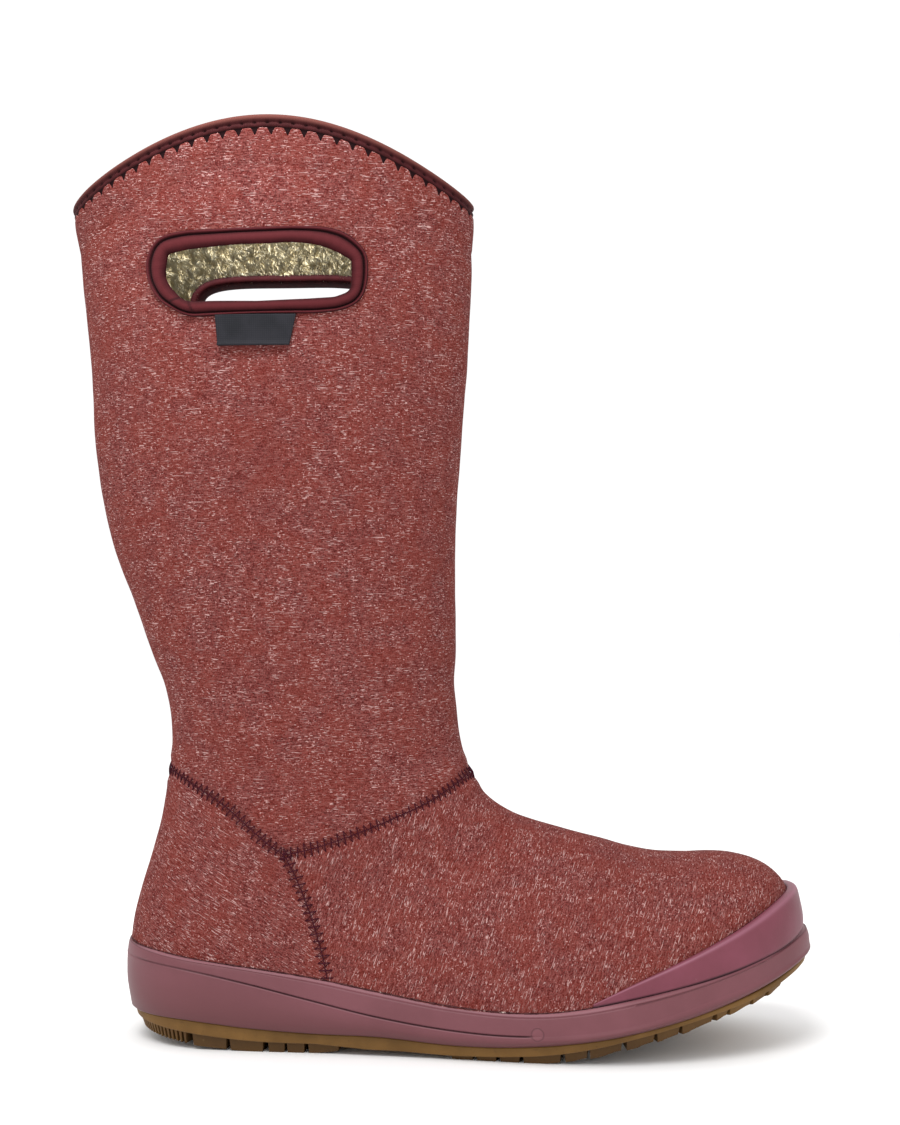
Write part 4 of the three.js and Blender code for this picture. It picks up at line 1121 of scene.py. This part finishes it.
def make_midsole():
    rim, groove, seat, floor = (level(plan_x, n) for n in ("rim", "groove", "seat", "floor"))
    fade = np.clip((plan_x - GROOVE_START) / 8, 0, 1) * np.clip((GROOVE_END - plan_x) / 2, 0, 1)
    fade *= 0.45 + 0.55 * step(plan_x, 20, 70)
    depth = GROOVE_DEPTH * fade
    edge = 2.2 - 0.9 * np.clip((plan_x - 180) / 40, 0, 1) + 1.5 * step(plan_x, 262, 281)
    shown = 1 - 0.75 * step(plan_x, 196, 214)
    layers, groove_shade, wear_and_highlight, low, dark = [], [], [], [], []

    def put(inset, height, mark=0.0, pale=0.0, foot_shade=0.0, joint_and_shade=0.0):
        layers.append(layer(inset, height))
        for kept, value in ((groove_shade, mark), (wear_and_highlight, pale), (low, foot_shade), (dark, joint_and_shade)):
            kept.append(np.broadcast_to(value, (PLAN_COUNT,)))

    put(4.8, seat + 0.35, joint_and_shade=1.0)
    # The lower layers are darkened towards the foot as painted shade
    put(3.5, seat, joint_and_shade=1.0, foot_shade=1.0)
    put(2.7, seat + 0.2, joint_and_shade=0.5, foot_shade=1.0)
    put(1.9, seat + 0.9, foot_shade=1.0)
    for share, inset in ((0.3, 0.85), (0.45, 0.3), (0.6, 0.05), (0.78, 0.05)):
        put(inset, seat + (groove - seat) * share, foot_shade=1 - 0.9 * share)
    put(0.15, groove - 0.8)
    # A painted highlight under the groove's lower lip, then the groove itself darkened as painted shade
    put(0.1, groove - 0.42, pale=0.3 * fade)
    put(0.25 + depth * 0.8, groove - 0.22, fade * 0.8)
    put(0.3 + depth, groove, fade)
    put(0.35 + depth * 0.7, groove + 0.22, fade * 0.6)
    put(0.35, groove + 0.42)
    put(0.4, groove + 0.9)
    for share in (0.35, 0.55, 0.72, 0.84):
        put(0.4 + (edge - 1.0) * share ** 2, groove + 0.9 + (rim - groove - 0.9) * share)
    # pale here is a painted highlight, with some wear, along the rim's rounded top edge
    put(edge - 0.75, rim - 1.45, pale=0.15 * shown)
    put(edge - 0.35, rim - 0.95, pale=0.5 * shown)
    put(edge + 0.1, rim - 0.45, pale=0.9 * shown)
    put(edge + 0.7, rim - 0.12, pale=shown)
    put(edge + 1.3, rim, pale=0.8 * shown)
    inner = wall_gap(rim)
    put(np.maximum(inner - 0.3, edge + 1.5), rim - 0.15, pale=0.2 * shown, joint_and_shade=0.5)
    put(np.maximum(inner, edge + 1.5) + 1.2, rim - 0.3, joint_and_shade=1.0)
    for share in (0.4, 0.75, 1.0):
        height = rim + (floor - rim) * share
        put(np.maximum(wall_gap(height), edge + 0.6) + 1.2, height)
    points = np.array(layers).reshape(-1, 3)
    faces = grid_faces(len(layers), PLAN_COUNT).tolist()
    faces += cap(0, True)
    faces += cap((len(layers) - 1) * PLAN_COUNT, False)
    values = {
        "groove": np.array(groove_shade).ravel(), "wear_and_highlight": np.array(wear_and_highlight).ravel(),
        "low": np.array(low).ravel(), "joint_and_shade": np.array(dark).ravel(),
    }
    make_piece("midsole_cup", points, faces, MIDSOLE_RUBBER, ["midsole"], values)


def make_glue_line():
    """The rough bead where fabric meets rubber."""
    rim = level(plan_x, "rim")
    gap = wall_gap(rim + 0.3)
    path = layer(gap - 0.1, rim + 0.1)
    path = np.vstack([path, path[:1]])
    path = resample(path, 1400)
    radius = 0.27 + 0.12 * waves(path, 3.0, 21) + 0.08 * waves(path, 1.1, 22)
    points, faces = tube(path, np.maximum(radius, 0.1), 6)
    make_piece("glue_line", points, faces, GLUE, ())


def make_bumper():
    """The rubber skin round the toe, from the midsole's rim up to its own edge."""
    rows = 30
    ahead = [k for k in range(PLAN_COUNT) if plan_x[k] >= BUMPER_START]
    columns, lengths = [], []
    for k in ahead:
        heights = np.linspace(level(plan_x[k], "rim") - 1.0, 76, 160)
        seen = []
        for z in heights:
            start = plan[k] - inward[k] * 8
            hit = skin_tree.ray_cast(Vector((*start, z)), Vector((*inward[k], 0)))
            if hit[0] is not None and hit[3] < 40:
                seen.append(np.array(hit[0]))
        seen = np.array(seen)
        over = seen[:, 2] - smooth(BUMPER_EDGE[:, 0], BUMPER_EDGE[:, 1], seen[:, 0])
        stop = int(np.argmax(over > 0)) if (over > 0).any() else len(seen) - 1
        if 0 < stop < len(seen):
            share = over[stop - 1] / (over[stop - 1] - over[stop])
            seen[stop] = seen[stop - 1] + (seen[stop] - seen[stop - 1]) * share
        seen = seen[:max(stop, 1) + 1]
        lengths.append(along(seen)[-1])
        columns.append(resample(seen, rows))
    grid = np.array(columns).transpose(1, 0, 2)
    for _ in range(3):
        grid[:, 1:-1] = (grid[:, :-2] + 2 * grid[:, 1:-1] + grid[:, 2:]) / 4
    normal = unit(np.cross(np.gradient(grid, axis=1), np.gradient(grid, axis=0)))
    share = np.linspace(0, 1, rows)
    lip = np.sqrt(np.maximum(1 - np.clip((share - 0.86) / 0.14, 0, 1) ** 2.4, 0))
    height = share[:, None] * np.array(lengths)[None, :]
    foot = 1 - 0.4 * np.clip(1 - height / 2.4, 0, 1) ** 2
    body = (0.35 + 0.65 * lip)[:, None] * foot
    reach = 0.55 + 2.75 * step(grid[0, :, 0], 195, 250) + 0.8 * step(grid[0, :, 0], 250, 276)
    thick = body * reach[None, :]
    outside = grid + normal * thick[:, :, None]
    back = grid - normal * 0.3
    count = len(ahead)
    points = np.concatenate([outside, back[::-1]]).reshape(-1, 3)
    faces = grid_faces(rows * 2, count, closed=False).tolist()
    faces += [[(rows * 2 - 1) * count + k, (rows * 2 - 1) * count + k + 1, k + 1, k] for k in range(count - 1)]
    faces.append([r * count for r in range(rows * 2)])
    faces.append([r * count + count - 1 for r in range(rows * 2)][::-1])
    # A painted highlight, with some wear, along the bumper's top lip
    wear_and_highlight = np.repeat(np.exp(-((share - 0.93) / 0.05) ** 2), count)
    joint_and_shade = np.clip((2.0 - height) / 0.6, 0, 1).ravel()
    both = {
        "wear_and_highlight": np.concatenate([wear_and_highlight, np.zeros(rows * count)]),
        "joint_and_shade": np.concatenate([joint_and_shade, np.ones(rows * count)]),
    }
    make_piece("toe_bumper_skin", points, faces, BUMPER_RUBBER, ["toe_bumper"], both)


def strip_lift(x):
    """How far the strip's lower edge lies above the rubber between the lugs."""
    return np.interp(x, *np.array(STRIP_LIFTS).T)


def lug_block(low_loop, high_loop, drop=0.0):
    """A block of the tread between a loop of x and y points on its face and one at its root."""
    low_loop, high_loop = np.asarray(low_loop, float), np.asarray(high_loop, float)
    tread = level(low_loop[:, 0], "tread")
    back = low_loop[:, 0] < low_loop[:, 0].mean()
    tread = np.maximum(tread - drop * np.where(back, 1, -0.3) * step(tread, 0.5, 3), 0)
    low = np.column_stack([low_loop, tread + 0.9 * step(low_loop[:, 0], 228, 262)])
    high = np.column_stack([high_loop, level(high_loop[:, 0], "web") + strip_lift(high_loop[:, 0]) + 0.3])
    count = len(low_loop)
    faces = [[k, (k + 1) % count, (k + 1) % count + count, k + count] for k in range(count)]
    faces.append(list(range(count))[::-1])
    faces.append([k + count for k in range(count)])
    return np.vstack([low, high]), faces


def edge_at(x, side, inset):
    x = np.asarray(x, float)
    y = centre_line(x) + side * half_width(x, side)
    slope = np.gradient(y, x) if len(x) > 1 else np.zeros(1)
    way = unit(np.stack([np.ones(len(x)), slope], 1))
    out = np.stack([-way[:, 1], way[:, 0]], 1) * side
    return np.stack([x, y], 1) - out * inset


def make_outsole():
    """A smooth strip under the midsole, with lugs set back beneath it."""
    web, seat = level(plan_x, "web"), level(plan_x, "seat")
    low = web + strip_lift(plan_x)
    out = 1.9 * step(plan_x, 222, 272)
    layers = [layer(11.0, web + 0.4), layer(8.0, web + 0.4), layer(6.4 - out, low + 0.3),
              layer(5.0 - out, low), layer(4.5 - out, low + 0.15), layer(4.2 - out, low + 0.5),
              layer(4.0 - out, (low + seat) / 2), layer(3.9 - out, seat - 0.5),
              layer(4.1 - out, seat - 0.15), layer(5.0 - out, seat + 0.3)]
    faces = grid_faces(len(layers), PLAN_COUNT).tolist() + cap(0, True)
    faces += cap((len(layers) - 1) * PLAN_COUNT, False)
    parts = [(np.array(layers).reshape(-1, 3), faces)]
    for first, last, reach in SIDE_LUGS:
        for side in (-1, 1):
            loops = []
            for grow, inset in ((-0.25, LUG_INSET + 0.5), (0.1, LUG_INSET - 0.4)):
                x = np.linspace(first - grow, last + grow, 6)
                loop = np.vstack([edge_at(x, side, inset), edge_at(x, side, reach)[::-1]])
                loops.append(loop if side < 0 else loop[::-1])
            parts.append(lug_block(*loops, drop=0.5))
    heel = np.where(plan_x < HEEL_COMB["to"])[0]
    ring = np.vstack([plan[heel[heel > STEPS]], plan[heel[heel <= STEPS]]])
    ways = np.vstack([inward[heel[heel > STEPS]], inward[heel[heel <= STEPS]]])
    run = along(ring)
    for start in np.arange(1.0, run[-1] - 2, HEEL_COMB["pitch"]):
        loops = []
        for width, outer in ((HEEL_COMB["width"] * 0.7, LUG_INSET + 0.9), (HEEL_COMB["width"], LUG_INSET - 0.6)):
            corners = []
            for at, inset in ((start, outer), (start + width, outer), (start + width, 16.0), (start, 16.0)):
                point = np.array([np.interp(at, run, ring[:, n]) for n in (0, 1)])
                way = unit(np.array([np.interp(at, run, ways[:, n]) for n in (0, 1)]))
                corners.append(point + way * inset)
            loops.append(np.array(corners))
        parts.append(lug_block(*loops))
    for bars in CENTRE_BARS:
        for k in range(bars["count"]):
            start = bars["start"] + k * bars["pitch"]
            middle = float(centre_line(start))
            half, tilt = bars["half"], bars["tilt"]
            loop = np.array([
                (start, middle - half), (start + bars["width"], middle - half),
                (start + bars["width"] + tilt, middle), (start + bars["width"], middle + half),
                (start, middle + half), (start + tilt, middle),
            ])
            parts.append(lug_block(loop, loop))
    points, faces = join_parts(parts)
    # Painted shade on the lugs, less towards the toe and at the heel
    lug_shade = (1 - 0.75 * step(points[:, 0], 205, 262)) * (1 - 0.6 * step(-points[:, 0], -33, -26))
    lug_shade[:len(layers) * PLAN_COUNT] = 0
    values = {"lug_shade": lug_shade}
    piece = make_piece("gum_outsole", points, faces, GUM, ["outsole"], values, flat=True)
    bevel = piece.modifiers.new("soft_edges", "BEVEL")
    bevel.width = 0.0003
    bevel.segments = 2
    bevel.limit_method = "ANGLE"
    bevel.angle_limit = math.radians(38)


def make_insole():
    """A footbed whose outline follows the inside of the upper."""
    xs = np.linspace(8, 268, 90)
    rows = []
    for x in xs:
        z = float(level(x, "floor")) + 4.0
        sides = []
        for side in (-1, 1):
            hit = skin_tree.ray_cast(Vector((x, side * 100, z)), Vector((0, -side, 0)))
            if hit[0] is None:
                sides.append(None)
            else:
                sides.append(hit[0].y - side * (WALL + 0.8))
        if None in sides or sides[1] - sides[0] < 6:
            continue
        middle, half = (sides[0] + sides[1]) / 2, (sides[1] - sides[0]) / 2
        floor = float(level(x, "floor"))
        row = []
        for t in np.linspace(-1, 1, 31):
            rise = 3.9 + 1.2 * abs(t) ** 4
            row.append((x, middle + half * t, floor + rise))
        for t in np.linspace(1, -1, 31):
            row.append((x, middle + half * t, floor + 0.5))
        rows.append(row)
    points = np.array(rows)
    count = points.shape[1]
    faces = grid_faces(len(rows), count).tolist()
    faces.append(list(range(count)))
    faces.append([(len(rows) - 1) * count + k for k in range(count)][::-1])
    tip = np.full(len(rows) * count, 0.6)
    make_piece("footbed", points.reshape(-1, 3), faces, FLEECE, ["insole"], {"tip": tip})


make_upper()
make_lining()
pile("fleece_pile_top_a", 58000, 283, 343, 5)
pile("fleece_pile_top_b", 58000, 283, 343, 6)
pile("fleece_pile_low", 52000, 205, 285, 7)
make_stitches()
make_collar_tape()
make_pinked_edge()
make_hole_binding("outer_hole_binding", "handle_binding_lateral", -1)
make_hole_binding("inner_hole_binding", "handle_binding_medial", 1)
make_label()
make_midsole()
make_glue_line()
make_bumper()
make_outsole()
make_insole()


# Floor, light and camera
def make_floor():
    s = Shader("floor")
    material = s.finish({"Base Color": (0.96, 0.96, 0.96, 1), "Roughness": 0.9})
    mesh = bpy.data.meshes.new("floor")
    half = 6.0
    mesh.from_pydata([(-half, -half, 0), (half, -half, 0), (half, half, 0), (-half, half, 0)], [], [(0, 1, 2, 3)])
    mesh.materials.append(material)
    floor = bpy.data.objects.new("floor", mesh)
    bpy.context.scene.collection.objects.link(floor)


def make_light(name, place, aim, size, power):
    data = bpy.data.lights.new(name, "AREA")
    data.shape = "DISK"
    data.size = size
    data.energy = power
    light = bpy.data.objects.new(name, data)
    light.location = place
    light.rotation_euler = (Vector(aim) - Vector(place)).to_track_quat("-Z", "Y").to_euler()
    bpy.context.scene.collection.objects.link(light)


def make_collar_light():
    """A narrow soft lamp that shines down through the collar on to the fleece of the inner side."""
    place, aim = Vector((-0.08, -0.43, 1.13)), Vector((-0.08, 0.042, 0.312))
    data = bpy.data.lights.new("collar_lamp", "SPOT")
    data.energy = 105
    data.spot_size = math.radians(10)
    data.spot_blend = 1.0
    data.shadow_soft_size = 0.06
    light = bpy.data.objects.new("collar_lamp", data)
    light.location = place
    light.rotation_euler = (aim - place).to_track_quat("-Z", "Y").to_euler()
    bpy.context.scene.collection.objects.link(light)


def make_world():
    world = bpy.data.worlds.new("studio")
    world.use_nodes = True
    background = world.node_tree.nodes["Background"]
    background.inputs[0].default_value = (1, 1, 1, 1)
    background.inputs[1].default_value = 1.05
    bpy.context.scene.world = world


def make_camera():
    """The photo's camera: level, turned slightly towards the heel."""
    wide, high = PICTURE
    data = bpy.data.cameras.new("camera")
    data.sensor_fit = "VERTICAL"
    data.sensor_height = 36
    data.lens = FOCAL_PIXELS * data.sensor_height / high
    data.shift_x = (wide / 2 - PICTURE_CENTRE[0]) / high
    data.shift_y = (PICTURE_CENTRE[1] - high / 2) / high
    camera = bpy.data.objects.new("camera", data)
    camera.location = CAMERA_PLACE
    camera.rotation_euler = (math.radians(90), 0, math.radians(CAMERA_TURN))
    bpy.context.scene.collection.objects.link(camera)
    bpy.context.scene.camera = camera


make_floor()
make_light("key", (-0.3, -1.15, 1.8), (-0.07, 0, 0.32), 0.9, 22)
make_collar_light()
make_world()
make_camera()
bpy.context.scene.view_settings.view_transform = "Standard"
